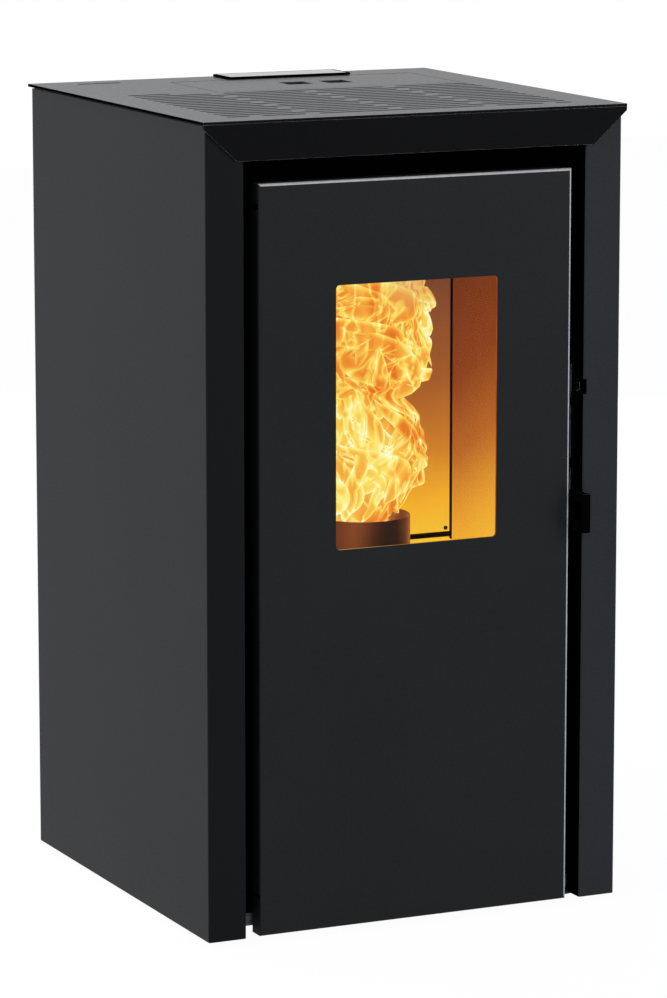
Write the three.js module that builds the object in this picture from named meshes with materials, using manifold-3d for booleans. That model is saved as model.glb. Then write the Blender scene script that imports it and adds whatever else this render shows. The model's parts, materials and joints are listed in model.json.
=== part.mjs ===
// A free-standing pellet stove: folded steel casing, glazed front door, firebox with a round
// burn pot, pellet hopper under a lid in the top, feed screw, exhaust blower and room fan.
// Millimetres, +Z up, the front faces -Y. The origin is on the floor under the middle of the stove.
import * as THREE from 'three';
import Module from 'manifold-3d';
import { mergeVertices } from 'three/addons/utils/BufferGeometryUtils.js';

const wasm = await Module();
wasm.setup();

// Casing
const bodyWidth = 480;
const bodyDepth = 480;
const footClear = 8; // floor to the lower edge of the side panels
const panelHeight = 855;
const sheet = 2; // thickness of the folded steel
const seat = 0.3; // gap left between pieces that lie on each other
const bend = 2.5; // outer radius of a fold
const frontFlange = 43;
const flangeReturn = 49;
const rearFlange = 25;
const trayRise = 5.5; // lower edge of the panels to the tray
const trayRim = 12;
const traySetback = 28; // from the front face to the tray's front edge

// Levelling feet
const footRadius = 18;
const footPadHeight = 6;
const footNutRadius = 9;
const footNutGap = 1.5; // bare thread between the pad and the nut
const footSkirt = 4; // how far the top of the pad reaches beyond the stud
const footStudRadius = 4;
const footStudTop = 25;
const footSideInset = 35;
const footFrontInset = 60;
const footRearInset = 35;
const studClearance = 0.5;

// Top cover, its chin, grille and openings
const topThickness = 3;
const topShadowGap = 2;
const topOverhang = 4;
const topLip = 14;
const chinDrop = 41.5;
const chinCheek = 7;
const chinSlantWidth = 38;
const chinLean = 1.5;
const grilleRows = 15;
const grillePitch = 17.5;
const grilleFront = -203.3;
const grilleSideInset = 40; // from the outside of the casing
const slotWidth = 7;
const slotBridge = 14;
const outerBridgeAt = 103; // bridges of every second row
const frontRowInsets = [33, 27]; // extra bridges of the front row, from the grille's ends
const stubSlotLength = 50;
const sideSlotInset = 42; // from the outside of the casing
const sideSlotLength = 52;
const sideSlotRear = 31; // from the rear edge of the casing

// Hopper lid and its pivots
const lidSideInset = 42; // from the right side of the casing to the lid
const lidWidth = 292;
const lidDepth = 129;
const lidRearInset = 53; // from the rear edge of the casing to the lid's rear edge
const lidGap = 1.2;
const lidRearGap = 2.6;
const fingerHole = 30;
const fingerHoleSpacing = 48.6;
const earDepth = 11;
const earLength = 20;
const pivotInset = 8; // from the lid's rear edge
const pivotDrop = 7.5; // below the lid's top face
const pivotRadius = 2;
const pivotClearance = 0.4;
const pivotBracketGap = 3.5;

// Control panel
const controlWidth = 150;
const controlDepth = 46.5;
const controlRise = 2.5;
const controlBorder = 3;
const displayThickness = 1.2;

// Door
const doorSideGap = 16;
const doorBottom = 0.5;
const doorTopDrop = 61; // from the head of the side panels to the door's upper edge
const doorDepth = 21;
const windowSide = 87.5; // from the door's edge to the window
const windowBottom = 406.5;
const windowTopDrop = 109; // from the door's upper edge to the window
const windowRadius = 4;
const glassMargin = 14.5;
const glassThickness = 4;
const gasketThickness = 1.4;
const clipThickness = 3.4;
const clipOverlap = 6;
const doorFrameSide = 21; // from the door's edge to the frame behind it
const doorFrameBottom = 330;
const doorFrameTopDrop = 44; // from the door's upper edge
const doorFrameBand = 40; // width of the frame's channel at the sides
const doorFrameBandEnds = 50; // width of the channel at the top and the bottom
const ropeThickness = 8;
const ropeInset = 8;
const ropeWidth = 10;

// Door hinges
const hingeInset = 9; // from the door's left edge to the hinge axis
const hingeSetback = 12; // from the front face to the hinge axis
const hingeFootRise = 41.5; // from the door's lower edge to the lower hinge
const hingeHeadDrop = 24; // from the door's upper edge to the upper hinge
const hingeNames = ['lower', 'upper'];
const armHalfWidth = 5;
const armThickness = 4;
const hingePinRadius = 2.5;
const hingePinHalf = 9;
const lugClearance = 0.5;
const lugThickness = 3;
const lugWidth = 31;
const lugBackInset = 11.5; // from the hinge axis to the lug's back plate
const armFoot = 26; // height of the bracket's foot on the inner frame

// Door handle and its latch
const rodOffset = 7; // from the door's right edge to the rod
const rodRadius = 2.5;
const rodSetback = 8;
const rodBottom = 407;
const rodTop = 585;
const gripArmHeight = 10;
const gripArmGap = 22;
const gripReach = 33.5; // from the rod to the middle of the grip
const gripThickness = 5;
const gripWidth = 9;
const latchTongueHeight = 8;
const latchTongueAt = 560;
const latchTongueGap = 1.7;
const latchStrip = 2;
const latchLugHeight = 8;
const latchLugs = [474, 540];
const keeperWindow = 16;
const keeperWidth = 24;
const keeperHeight = 34;
const keeperDepth = 6;

// Inner front frame and firebox
const frameSideInset = 15; // from the outside of the casing
const frameTopDrop = 17; // from the head of the side panels
const mouthSide = 26; // from the door frame's edge to the firebox mouth
const mouthBottom = 372;
const mouthTopDrop = 15; // from the door frame's upper edge
const fireboxSide = 12; // from the mouth's edge to the outside of the firebox
const fireboxDepth = 148;
const fireboxBottom = 185;
const fireboxTopDrop = 95; // from the head of the side panels
const fireboxFloor = 352;
const floorThickness = 3;
const liningThickness = 3.7;
const liningTopDrop = 29.7; // from the top of the firebox
const backPanelSide = 10; // from the outside of the firebox
const backPanelBottom = 366;
const backPanelTopDrop = 32; // from the top of the firebox
const backPanelLip = 7;
const baffleThickness = 6;
const baffleDepth = 112;

// Burn pot
const potRadius = 52.5;
const potCollarRadius = 46.5;
const potWall = 3;
const potRim = 415.5;
const potBottom = 335;
const potBackGap = 60.4; // from the back panel's face to the pot's axis
const potHoleRadius = 3;
const potHoleRing = 28;
const potHoleCount = 8;
const potSupportHeight = 8;
const potSupportRadius = 66;
const potSupportHalf = 88;
const potClearance = 1;

// Ash drawer
const drawerSide = 38; // from the outside of the firebox
const drawerBottom = 195;
const drawerHeight = 80;
const drawerLength = 138;
const drawerFrontMargin = 10;
const drawerClearance = 4;
const drawerPullReach = 20;
const drawerPullHalf = 45;
const drawerPullThickness = 5;
const runnerHeight = 7.4;
const runnerWidth = 14;

// Feed screw, its tube and the chute into the firebox
const augerTilt = 30; // degrees from upright, leaning to the front as it rises
const augerFootY = 140;
const augerFootZ = 300;
const augerTubeRadius = 28;
const augerTubeWall = 2.5;
const augerTubeStart = -25;
const augerTubeEnd = 285;
const screwRadius = 23.5;
const screwShaftRadius = 7;
const screwPitch = 40;
const screwTurns = 6;
const screwFlight = 2;
const screwStart = -18;
const gearboxHalf = 34;
const gearboxLength = 46;
const gearMotorRadius = 27;
const gearMotorLength = 40;
const shaftEngagement = 20;
const bearingLength = 12;
const chuteAlong = 255; // where the chute's axis leaves the screw's axis
const chuteRadius = 24;
const chuteWall = 2;
const chuteLength = 91;

// Hopper
const hopperHalf = 158;
const hopperFrontInset = 12; // in front of the lid's opening
const hopperRearInset = 5.7; // in front of the rear panel
const hopperShoulder = 620;
const hopperThroat = 430;
const throatHalf = 22;
const throatFront = 115;
const throatRear = 162;
const throatFoot = 325;
const hopperWall = 2;
const grateDrop = 55; // below the head of the side panels
const grateBars = 9;
const grateBarWidth = 6;
const grateThickness = 3;

// Smoke way
const ductHalf = 30;
const ductSideOffset = 4; // from the smoke hole to the middle of the duct
const ductFrontY = -115;
const ductUprightDepth = 60;
const ductRearY = 180;
const ductHeight = 52;
const smokeHoleInset = 20; // from the outside of the firebox
const smokeHoleRadius = 16;
const blowerY = 110;
const blowerRadius = 70;
const blowerHeight = 90;
const blowerInletRadius = 30;
const blowerWall = 2;
const outletOffset = 28; // from the middle of the duct
const outletHalf = 42;
const outletRearY = 200;
const impellerRadius = 55;
const impellerHeight = 40;
const impellerBlades = 10;
const impellerLift = 8;
const bladeThickness = 2;
const blowerMotorRadius = 35;
const blowerMotorHeight = 62;
const blowerMotorChamfer = 6;
const blowerShaftRadius = 4;
const blowerShaftReach = 18;
const flueRadius = 40;
const flueWall = 1.6;
const flueReach = 30.3; // how far the spigot stands out behind the rear panel
const flueBeadRise = 1.5;
const flueBeadWidth = 3;

// Combustion air and igniter
const airPipeInset = 36; // from the outside of the firebox
const airPipeZ = 300;
const airPipeRadius = 25;
const airPipeWall = 1.5;
const airPipeReach = 22;
const airFlange = 6;
const igniterX = 0;
const igniterZ = 344;
const igniterRadius = 5;
const igniterFlangeRadius = 12;
const igniterLength = 90;

// Room fan under the firebox
const fanLeftGap = 90; // from the middle of the duct
const fanRightInset = 40; // from the outside of the casing
const fanFrontY = 0;
const fanDepth = 112;
const fanHeight = 124;
const fanRotorRadius = 42;
const fanBlades = 12;
const fanEndGap = 10;
const fanShaftRadius = 4;
const fanMotorRadius = 30;
const fanMotorLength = 30;
const fanOutletDepth = 34;

// Rear panel fittings and electrics
const louvreCount = 9;
const louvreWidth = 90;
const louvreHeight = 5;
const louvrePitch = 12;
const louvreInset = 130; // from the fan's right end
const louvreZ = 55;
const inletInset = 50; // from the outside of the casing
const inletZ = 62;
const inletWidth = 28;
const inletHeight = 22;
const inletDepth = 26;
const inletBorder = 4;
const inletWell = 14;
const inletPinSetback = 8;
const inletPinSpread = 7;
const inletPinOffset = 2; // the middle pin stands this far above, the outer ones below
const rockerZ = 96;
const rockerWidth = 13;
const rockerHeight = 19;
const rockerRise = 3;
const rockerBelly = 3; // depth behind the pivot, doubled in the middle
const rockerFrame = 3;
const rockerShell = 1;
const cutoutGap = 1;
const capZ = 134;
const capRadius = 9;
const capReach = 12;
const boardWidth = 36;
const boardFrontY = 20;
const boardDepth = 140;
const boardBottom = 420;
const boardHeight = 160;

// Fineness of the round shapes
const bendSteps = 3;
const roundSides = 24;
const smallSides = 12;
const footSides = 16;

// Places that follow from the sizes above
const halfWidth = bodyWidth / 2;
const frontY = -bodyDepth / 2;
const rearY = bodyDepth / 2;
const openingHalf = halfWidth - frontFlange;
const grilleHalf = halfWidth - grilleSideInset;
const frontRowBridges = [frontRowInsets[0] - grilleHalf, grilleHalf - frontRowInsets[1]];
const sideSlotLeft = sideSlotInset - halfWidth;
const innerHalf = halfWidth - sheet - seat;
const topUnder = panelHeight + topShadowGap;
const topZ = topUnder + topThickness;
const rearPanelBack = rearY - sheet - seat;
const rearPanelFront = rearPanelBack - sheet;
const trayTop = trayRise + sheet;
const frameFront = frontY + flangeReturn + seat;
const frameBack = frameFront + sheet;
const doorHalf = openingHalf - doorSideGap;
const doorTop = panelHeight - doorTopDrop;
const windowHalf = doorHalf - windowSide;
const windowTop = doorTop - windowTopDrop;
const doorFrameHalf = doorHalf - doorFrameSide;
const doorFrameTop = doorTop - doorFrameTopDrop;
const hingeHeights = [doorBottom + hingeFootRise, doorTop - hingeHeadDrop];
const doorInner = frontY + sheet;
const hingeX = -doorHalf + hingeInset;
const hingeY = frontY + hingeSetback;
const rodX = doorHalf + rodOffset;
const rodY = frontY + rodSetback;
const lidRearY = rearY - lidRearInset;
const lidFrontY = lidRearY - lidDepth;
const lidCentreX = halfWidth - lidSideInset - lidWidth / 2;
const lidLeft = lidCentreX - lidWidth / 2;
const lidRight = lidCentreX + lidWidth / 2;
const pivotY = lidRearY - pivotInset;
const pivotZ = topZ - pivotDrop;
const fireboxFront = frameBack + seat;
const frameHalf = halfWidth - frameSideInset;
const frameTop = panelHeight - frameTopDrop;
const mouthHalf = doorFrameHalf - mouthSide;
const mouthTop = doorFrameTop - mouthTopDrop;
const fireboxHalf = mouthHalf + fireboxSide;
const fireboxTop = panelHeight - fireboxTopDrop;
const backPanelHalf = fireboxHalf - backPanelSide;
const backPanelTop = fireboxTop - backPanelTopDrop;
const drawerHalf = fireboxHalf - drawerSide;
const fireboxBack = fireboxFront + fireboxDepth;
const fireboxInner = fireboxHalf - sheet;
const backPanelFront = fireboxBack - sheet - seat - sheet;
const potY = backPanelFront - potBackGap;
const floorTop = fireboxFloor + floorThickness;
const liningHeight = fireboxTop - liningTopDrop - floorTop - seat;
const potSeat = floorTop + seat + potSupportHeight + seat;
const hopperX = lidCentreX;
const hopperRearY = rearPanelFront - hopperRearInset;
const grateHeight = panelHeight - grateDrop;
const hopperFrontY = lidFrontY - hopperFrontInset;
const blowerBottom = trayTop + seat + ductHeight + seat;
const smokeHoleX = smokeHoleInset - fireboxHalf;
const ductX = smokeHoleX - ductSideOffset;
const outletX = ductX - outletOffset;
const airPipeX = fireboxHalf - airPipeInset;
const fanLeftX = ductX + fanLeftGap;
const fanRightX = halfWidth - fanRightInset;
const louvreX = fanRightX - louvreInset;
const inletX = halfWidth - inletInset;
const tilt = THREE.MathUtils.degToRad(augerTilt);
const augerRise = new THREE.Vector3(0, -Math.sin(tilt), Math.cos(tilt));
const augerFoot = new THREE.Vector3(0, augerFootY, augerFootZ);
const fanY = fanFrontY + fanDepth / 2;
const fanBottom = trayTop + seat;
const fanZ = fanBottom + fanHeight / 2;
const gripFrontY = rodY - gripReach - gripThickness / 2;
const flueEndY = rearPanelBack + flueReach;

// Finishes
const finishes = {
  blackPaint: { color: 0x2b2c2e, roughness: 0.55, metalness: 0.1 },
  gapBlack: { color: 0x111112, roughness: 0.8, metalness: 0.1 },
  zincSteel: { color: 0x8f9396, roughness: 0.45, metalness: 0.9 },
  brightSteel: { color: 0xb4b6b8, roughness: 0.3, metalness: 1.0 },
  castIron: { color: 0x3a2f2a, roughness: 0.8, metalness: 0.5 },
  vermiculite: { color: 0xb58a52, roughness: 0.9, metalness: 0.0 },
  ceramic: { color: 0xd9d5cc, roughness: 0.6, metalness: 0.0 },
  glass: { color: 0x30302c, roughness: 0.08, metalness: 0.0 },
  rope: { color: 0x6d6a63, roughness: 1.0, metalness: 0.0 },
  glossBlack: { color: 0x08080a, roughness: 0.12, metalness: 0.0 },
  blackPlastic: { color: 0x18181a, roughness: 0.5, metalness: 0.0 },
  rubber: { color: 0x151515, roughness: 0.9, metalness: 0.0 },
};

// A closed three.js geometry becomes a solid that can be joined and cut.
function solid(geometry) {
  const bare = geometry.clone();
  bare.deleteAttribute('normal');
  bare.deleteAttribute('uv');
  const merged = mergeVertices(bare);
  const corners = merged.index.array;
  const kept = [];
  for (let i = 0; i < corners.length; i += 3) {
    const [a, b, c] = corners.slice(i, i + 3);
    if (a !== b && b !== c && c !== a) {
      kept.push(a, b, c);
    }
  }
  return new wasm.Manifold(new wasm.Mesh({
    numProp: 3,
    vertProperties: merged.attributes.position.array,
    triVerts: Uint32Array.from(kept),
  }));
}

// A named mesh with its own material from a finished solid.
function piece(name, made, finish) {
  const cut = made.getMesh();
  const geometry = new THREE.BufferGeometry();
  geometry.setAttribute('position', new THREE.BufferAttribute(cut.vertProperties, 3));
  geometry.setIndex(new THREE.BufferAttribute(cut.triVerts, 1));
  geometry.computeVertexNormals();
  const mesh = new THREE.Mesh(geometry, new THREE.MeshStandardMaterial(finishes[finish]));
  mesh.name = name;
  return mesh;
}

function joined(solids) {
  return solids.reduce((whole, part) => whole.add(part));
}

function cutBy(body, cutters) {
  return cutters.reduce((left, cutter) => left.subtract(cutter), body);
}

function block(x0, x1, y0, y1, z0, z1) {
  const geometry = new THREE.BoxGeometry(x1 - x0, y1 - y0, z1 - z0);
  geometry.translate((x0 + x1) / 2, (y0 + y1) / 2, (z0 + z1) / 2);
  return solid(geometry);
}

// An outline drawn across one axis (YZ, XZ or XY) and pushed along it.
function prism(outline, axis, from, to) {
  const geometry = new THREE.ExtrudeGeometry(outline, { depth: to - from, bevelEnabled: false });
  const alongX = new THREE.Vector3(1, 0, 0);
  const alongY = new THREE.Vector3(0, 1, 0);
  const alongZ = new THREE.Vector3(0, 0, 1);
  const bases = {
    x: [alongY, alongZ, alongX, from],
    y: [alongX, alongZ, alongY.clone().negate(), -to],
    z: [alongX, alongY, alongZ, from],
  };
  const [across, up, along, start] = bases[axis];
  geometry.translate(0, 0, start);
  geometry.applyMatrix4(new THREE.Matrix4().makeBasis(across, up, along));
  return solid(geometry);
}

function round(u, v, radius, sides = roundSides) {
  const points = [];
  for (let i = 0; i < sides; i += 1) {
    const turn = (2 * Math.PI * i) / sides;
    points.push(new THREE.Vector2(u + radius * Math.cos(turn), v + radius * Math.sin(turn)));
  }
  return new THREE.Shape(points);
}

function roundedBox(u0, u1, v0, v1, radius, steps = bendSteps) {
  const centres = [[u1 - radius, v1 - radius], [u0 + radius, v1 - radius],
    [u0 + radius, v0 + radius], [u1 - radius, v0 + radius]];
  const points = [];
  centres.forEach(([u, v], corner) => {
    for (let i = 0; i <= steps; i += 1) {
      const turn = ((corner + i / steps) * Math.PI) / 2;
      points.push(new THREE.Vector2(u + radius * Math.cos(turn), v + radius * Math.sin(turn)));
    }
  });
  return new THREE.Shape(points);
}

function plainBox(u0, u1, v0, v1) {
  return new THREE.Shape([[u0, v0], [u1, v0], [u1, v1], [u0, v1]].map(([u, v]) => (
    new THREE.Vector2(u, v))));
}

function holed(outline, holes) {
  outline.holes.push(...holes);
  return outline;
}

// Pipe or ring along an axis, between two places on it.
function pipe(axis, u, v, outer, inner, from, to, sides = roundSides) {
  return prism(holed(round(u, v, outer, sides), [round(u, v, inner, sides)]), axis, from, to);
}

function rod(axis, u, v, radius, from, to, sides = smallSides) {
  return prism(round(u, v, radius, sides), axis, from, to);
}

// A profile of [radius, height] points turned about Z. It closes on itself or ends on the axis.
function turned(profile, sides = roundSides) {
  const points = profile.map(([radius, height]) => new THREE.Vector2(radius, height));
  const geometry = new THREE.LatheGeometry(points, sides);
  geometry.rotateX(Math.PI / 2);
  return solid(geometry);
}

// A straight-sided funnel between two rectangles [x0, x1, y0, y1] at two heights.
function taper(low, lowZ, high, highZ) {
  const ring = ([x0, x1, y0, y1], z) => [x0, y0, z, x1, y0, z, x1, y1, z, x0, y1, z];
  const geometry = new THREE.BufferGeometry();
  const places = new Float32Array([...ring(low, lowZ), ...ring(high, highZ)]);
  const faces = [0, 2, 1, 0, 3, 2, 4, 5, 6, 4, 6, 7];
  for (let i = 0; i < 4; i += 1) {
    const next = (i + 1) % 4;
    faces.push(i, next, next + 4, i, next + 4, i + 4);
  }
  geometry.setAttribute('position', new THREE.BufferAttribute(places, 3));
  geometry.setIndex(faces);
  return solid(geometry);
}

// Corners of a run of lines at right angles, moved sideways by a distance.
function shiftedRun(corners, distance) {
  const side = (from, to) => {
    const along = to.clone().sub(from).normalize();
    return new THREE.Vector2(along.y, -along.x).multiplyScalar(distance);
  };
  return corners.map((corner, i) => {
    const moved = corner.clone();
    if (i > 0) {
      moved.add(side(corners[i - 1], corner));
    }
    if (i < corners.length - 1) {
      moved.add(side(corner, corners[i + 1]));
    }
    return moved;
  });
}

// The same run with its inner corners rounded.
function roundedRun(corners, radius) {
  const points = [corners[0]];
  for (let i = 1; i < corners.length - 1; i += 1) {
    const before = corners[i].clone().sub(corners[i - 1]).normalize();
    const after = corners[i + 1].clone().sub(corners[i]).normalize();
    const start = corners[i].clone().addScaledVector(before, -radius);
    for (let step = 0; step <= bendSteps; step += 1) {
      const turn = ((step / bendSteps) * Math.PI) / 2;
      points.push(start.clone()
        .addScaledVector(before, radius * Math.sin(turn))
        .addScaledVector(after, radius * (1 - Math.cos(turn))));
    }
  }
  points.push(corners[corners.length - 1]);
  return points;
}

// Outline of a sheet folded along a run of corners. The metal lies on the turned-in side.
function foldedSheet(corners, side) {
  const outer = roundedRun(corners, bend);
  const inner = roundedRun(shiftedRun(corners, side * sheet), bend - sheet);
  return new THREE.Shape([...outer, ...inner.reverse()]);
}

// A pan open to the rear, with folded front edges: the door's outer skin.
function pan(x0, x1, y0, y1, z0, z1, radius) {
  const upright = roundedBox(x0, x1, y0, y1 + bodyDepth, radius);
  const sideways = roundedBox(y0, y1 + bodyDepth, z0, z1, radius);
  const whole = prism(upright, 'z', z0, z1).intersect(prism(sideways, 'x', x0, x1));
  return whole.subtract(block(x0 - sheet, x1 + sheet, y1, y1 + 2 * bodyDepth, z0 - sheet, z1 + sheet));
}

// Floor tray with a rim. Its front part is narrower, to lie between the returns of the sides.
function baseTray() {
  const y0 = frontY + traySetback;
  const y1 = rearPanelFront - seat;
  const shape = (inset, z0, z1) => block(-innerHalf + inset, innerHalf - inset,
    frameBack + seat + inset, y1 - inset, z0, z1)
    .add(block(-openingHalf + seat + inset, openingHalf - seat - inset, y0 + inset, y1 - inset,
      z0, z1));
  const holes = footPlaces().map(([, x, y]) => (
    rod('z', x, y, footStudRadius + studClearance, 0, trayTop + trayRim)));
  return piece('base_tray', cutBy(shape(0, trayRise, trayTop + trayRim),
    [shape(sheet, trayTop, panelHeight), ...holes]), 'zincSteel');
}

function footPlaces() {
  const x = halfWidth - footSideInset;
  const front = frontY + footFrontInset;
  const rear = rearY - footRearInset;
  return [['front_left', -x, front], ['front_right', x, front],
    ['rear_left', -x, rear], ['rear_right', x, rear]];
}

// A rubber-faced pad, its threaded stud and the nut that carries the tray.
function levellingFeet() {
  const padBottom = -footClear;
  const padTop = padBottom + footPadHeight;
  const nutTop = trayRise - seat;
  const profile = [[0, padBottom], [footRadius - 1, padBottom], [footRadius, padBottom + 1],
    [footRadius, padTop - 2], [footStudRadius + footSkirt, padTop], [footStudRadius, padTop],
    [footStudRadius, padTop + footNutGap], [footNutRadius, padTop + footNutGap], [footNutRadius, nutTop],
    [footStudRadius, nutTop], [footStudRadius, footStudTop], [0, footStudTop]];
  return footPlaces().map(([place, x, y]) => {
    const foot = piece(`levelling_foot_${place}`, turned(profile, footSides), 'rubber');
    foot.position.set(x, y, 0);
    return foot;
  });
}

// One side of the casing: wall, front flange with its return, and rear flange.
function sidePanel(name, side) {
  const corners = [[openingHalf, frontY + flangeReturn], [openingHalf, frontY],
    [halfWidth, frontY], [halfWidth, rearY], [halfWidth - rearFlange, rearY]]
    .map(([x, y]) => new THREE.Vector2(side * x, y));
  let panel = prism(foldedSheet(corners, -side), 'z', 0, panelHeight);
  if (side > 0) {
    const z = latchTongueAt;
    panel = panel.subtract(block(openingHalf - sheet, openingHalf + 2 * sheet,
      rodY - keeperWindow / 2, rodY + keeperWindow / 2, z - keeperWindow / 2, z + keeperWindow / 2));
  }
  return piece(name, panel, 'blackPaint');
}

function slot(x0, x1, y) {
  return roundedBox(x0, x1, y - slotWidth / 2, y + slotWidth / 2, slotWidth / 2);
}

// Slots of the warm air grille: rows of long slots with staggered bridges.
function grilleSlots() {
  const slots = [];
  for (let row = 0; row < grilleRows; row += 1) {
    const y = grilleFront + row * grillePitch;
    const bridges = row % 2 === 0 ? [-outerBridgeAt, outerBridgeAt] : [0];
    if (row === 0) {
      bridges.push(...frontRowBridges);
    }
    bridges.sort((a, b) => a - b);
    let start = -grilleHalf;
    for (const at of [...bridges, grilleHalf + slotBridge / 2]) {
      slots.push(slot(start, at - slotBridge / 2, y));
      start = at + slotBridge / 2;
    }
  }
  const stubY = grilleFront + grilleRows * grillePitch;
  slots.push(slot(-grilleHalf, -grilleHalf + stubSlotLength, stubY));
  const sideY = rearY - sideSlotRear;
  slots.push(slot(sideSlotLeft, sideSlotLeft + sideSlotLength, sideY));
  return slots;
}

// Front fold of the top: a bevelled apron over the head of the side panels.
function chin() {
  const half = halfWidth + topOverhang;
  const low = topZ - chinDrop;
  const outline = new THREE.Shape([[-half, topZ], [-half, topZ - chinCheek],
    [-half + chinSlantWidth, low], [half - chinSlantWidth, low], [half, topZ - chinCheek],
    [half, topZ]].map(([x, z]) => new THREE.Vector2(x, z)));
  const face = frontY - topOverhang;
  const profile = new THREE.Shape([[face, topZ], [face + sheet, topZ],
    [face + sheet + chinLean, low], [face + chinLean, low]].map(([y, z]) => new THREE.Vector2(y, z)));
  return prism(outline, 'y', frontY - bodyDepth, rearY).intersect(prism(profile, 'x', -half, half));
}

function topCover() {
  const half = halfWidth + topOverhang;
  const plate = plainBox(-half, half, frontY - topOverhang, rearY);
  const lidHole = roundedBox(lidLeft - lidGap, lidRight + lidGap,
    lidFrontY - lidGap, lidRearY + lidRearGap, 2 * lidGap);
  const sheetTop = prism(holed(plate, [...grilleSlots(), lidHole]), 'z', topUnder, topZ);
  const lips = [-1, 1].map((side) => {
    const [x0, x1] = [side * innerHalf, side * (innerHalf - sheet)].sort((a, b) => a - b);
    return block(x0, x1, frontY + sheet + bend, rearPanelFront - seat, topUnder - topLip, topUnder + 1);
  });
  return piece('top_cover', joined([sheetTop, chin(), ...lips]), 'blackPaint');
}

// Lid with two finger holes and an ear for a pivot at each end.
function hopperLid() {
  const y = (lidFrontY + lidRearY) / 2 + seat;
  const holes = [-1, 1].map((side) => {
    const x = lidCentreX + (side * fingerHoleSpacing) / 2;
    return roundedBox(x - fingerHole / 2, x + fingerHole / 2,
      y - fingerHole / 2, y + fingerHole / 2, sheet);
  });
  const plate = prism(holed(roundedBox(lidLeft, lidRight, lidFrontY, lidRearY, lidGap), holes),
    'z', topUnder, topZ);
  const ears = [lidLeft, lidRight - sheet].map((x) => (
    block(x, x + sheet, lidRearY - earLength, lidRearY - 1, topUnder - earDepth, topUnder + 1)));
  const bore = rod('x', pivotY, pivotZ, pivotRadius + pivotClearance, lidLeft - 1, lidRight + 1);
  return piece('hopper_lid', joined([plate, ...ears]).subtract(bore), 'blackPaint');
}

// Bracket under the top beside the lid, with the pivot that the lid's ear turns on.
function lidPivot(name, side) {
  const ear = lidCentreX + (side * lidWidth) / 2;
  const near = ear + side * pivotBracketGap;
  const [x0, x1] = [near, near + side * sheet].sort((a, b) => a - b);
  const [p0, p1] = [ear - side * 2 * sheet, near + side].sort((a, b) => a - b);
  const plate = block(x0, x1, pivotY - pivotInset, pivotY + pivotInset,
    topUnder - earDepth, topUnder - seat);
  return piece(name, plate.add(rod('x', pivotY, pivotZ, pivotRadius, p0, p1)), 'zincSteel');
}

function controlPanel() {
  const x0 = lidCentreX - controlWidth / 2;
  const x1 = lidCentreX + controlWidth / 2;
  const y0 = lidRearY + lidRearGap + sheet / 2;
  const y1 = y0 + controlDepth;
  const z0 = topZ + seat;
  const z1 = z0 + controlRise;
  const pocket = z1 - displayThickness - seat;
  const bezel = prism(roundedBox(x0, x1, y0, y1, sheet), 'z', z0, z1);
  const inner = prism(roundedBox(x0 + controlBorder, x1 - controlBorder,
    y0 + controlBorder, y1 - controlBorder, 1), 'z', pocket, z1 + 1);
  const edge = controlBorder + seat;
  const glass = prism(roundedBox(x0 + edge, x1 - edge, y0 + edge, y1 - edge, 1),
    'z', pocket + seat, z1);
  return [piece('control_panel_bezel', bezel.subtract(inner), 'blackPlastic'),
    piece('control_panel_display', glass, 'glossBlack')];
}

// Plate behind the front opening. It carries the door, the firebox and the drawer's mouth.
function innerFrontFrame() {
  const plate = roundedBox(-frameHalf, frameHalf, trayTop + trayRim + seat, frameTop, sheet);
  const mouth = roundedBox(-mouthHalf, mouthHalf, mouthBottom, mouthTop, 2 * sheet);
  const drawer = roundedBox(-drawerHalf - drawerClearance, drawerHalf + drawerClearance,
    drawerBottom - drawerClearance, drawerBottom + drawerHeight + drawerClearance, sheet);
  return piece('inner_front_frame', prism(holed(plate, [mouth, drawer]), 'y', frameFront, frameBack),
    'gapBlack');
}

// Fixed hinge half: a foot on the inner frame, an arm and an upright pin.
function hingeBracket(name, z) {
  const foot = block(hingeX - armHalfWidth, hingeX + armFoot / 2, frameFront - seat - sheet,
    frameFront - seat, z - armFoot / 2, z + armFoot / 2);
  const arm = block(hingeX - armHalfWidth, hingeX + armHalfWidth, hingeY,
    frameFront - seat, z - armThickness / 2, z + armThickness / 2);
  const knuckle = rod('z', hingeX, hingeY, armHalfWidth, z - armThickness / 2, z + armThickness / 2);
  const pin = rod('z', hingeX, hingeY, hingePinRadius, z - hingePinHalf, z + hingePinHalf);
  return piece(name, joined([foot, arm, knuckle, pin]), 'gapBlack');
}

// Moving hinge half: a back plate behind the door's skin and two tabs round the arm.
function hingeLug(name, z) {
  const y0 = doorInner + seat;
  const x0 = hingeX - armHalfWidth;
  const x1 = hingeX + lugWidth - armHalfWidth;
  const reach = armThickness / 2 + lugClearance + lugThickness;
  const back = block(hingeX + lugBackInset, x1, y0, y0 + lugThickness, z - reach, z + reach);
  const tabs = [z - reach, z + reach - lugThickness].map((bottom) => (
    block(x0, x1, y0, hingeY + armHalfWidth, bottom, bottom + lugThickness)));
  const bore = rod('z', hingeX, hingeY, hingePinRadius + pivotClearance,
    z - 2 * reach, z + 2 * reach);
  return piece(name, joined([back, ...tabs]).subtract(bore), 'gapBlack');
}

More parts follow.
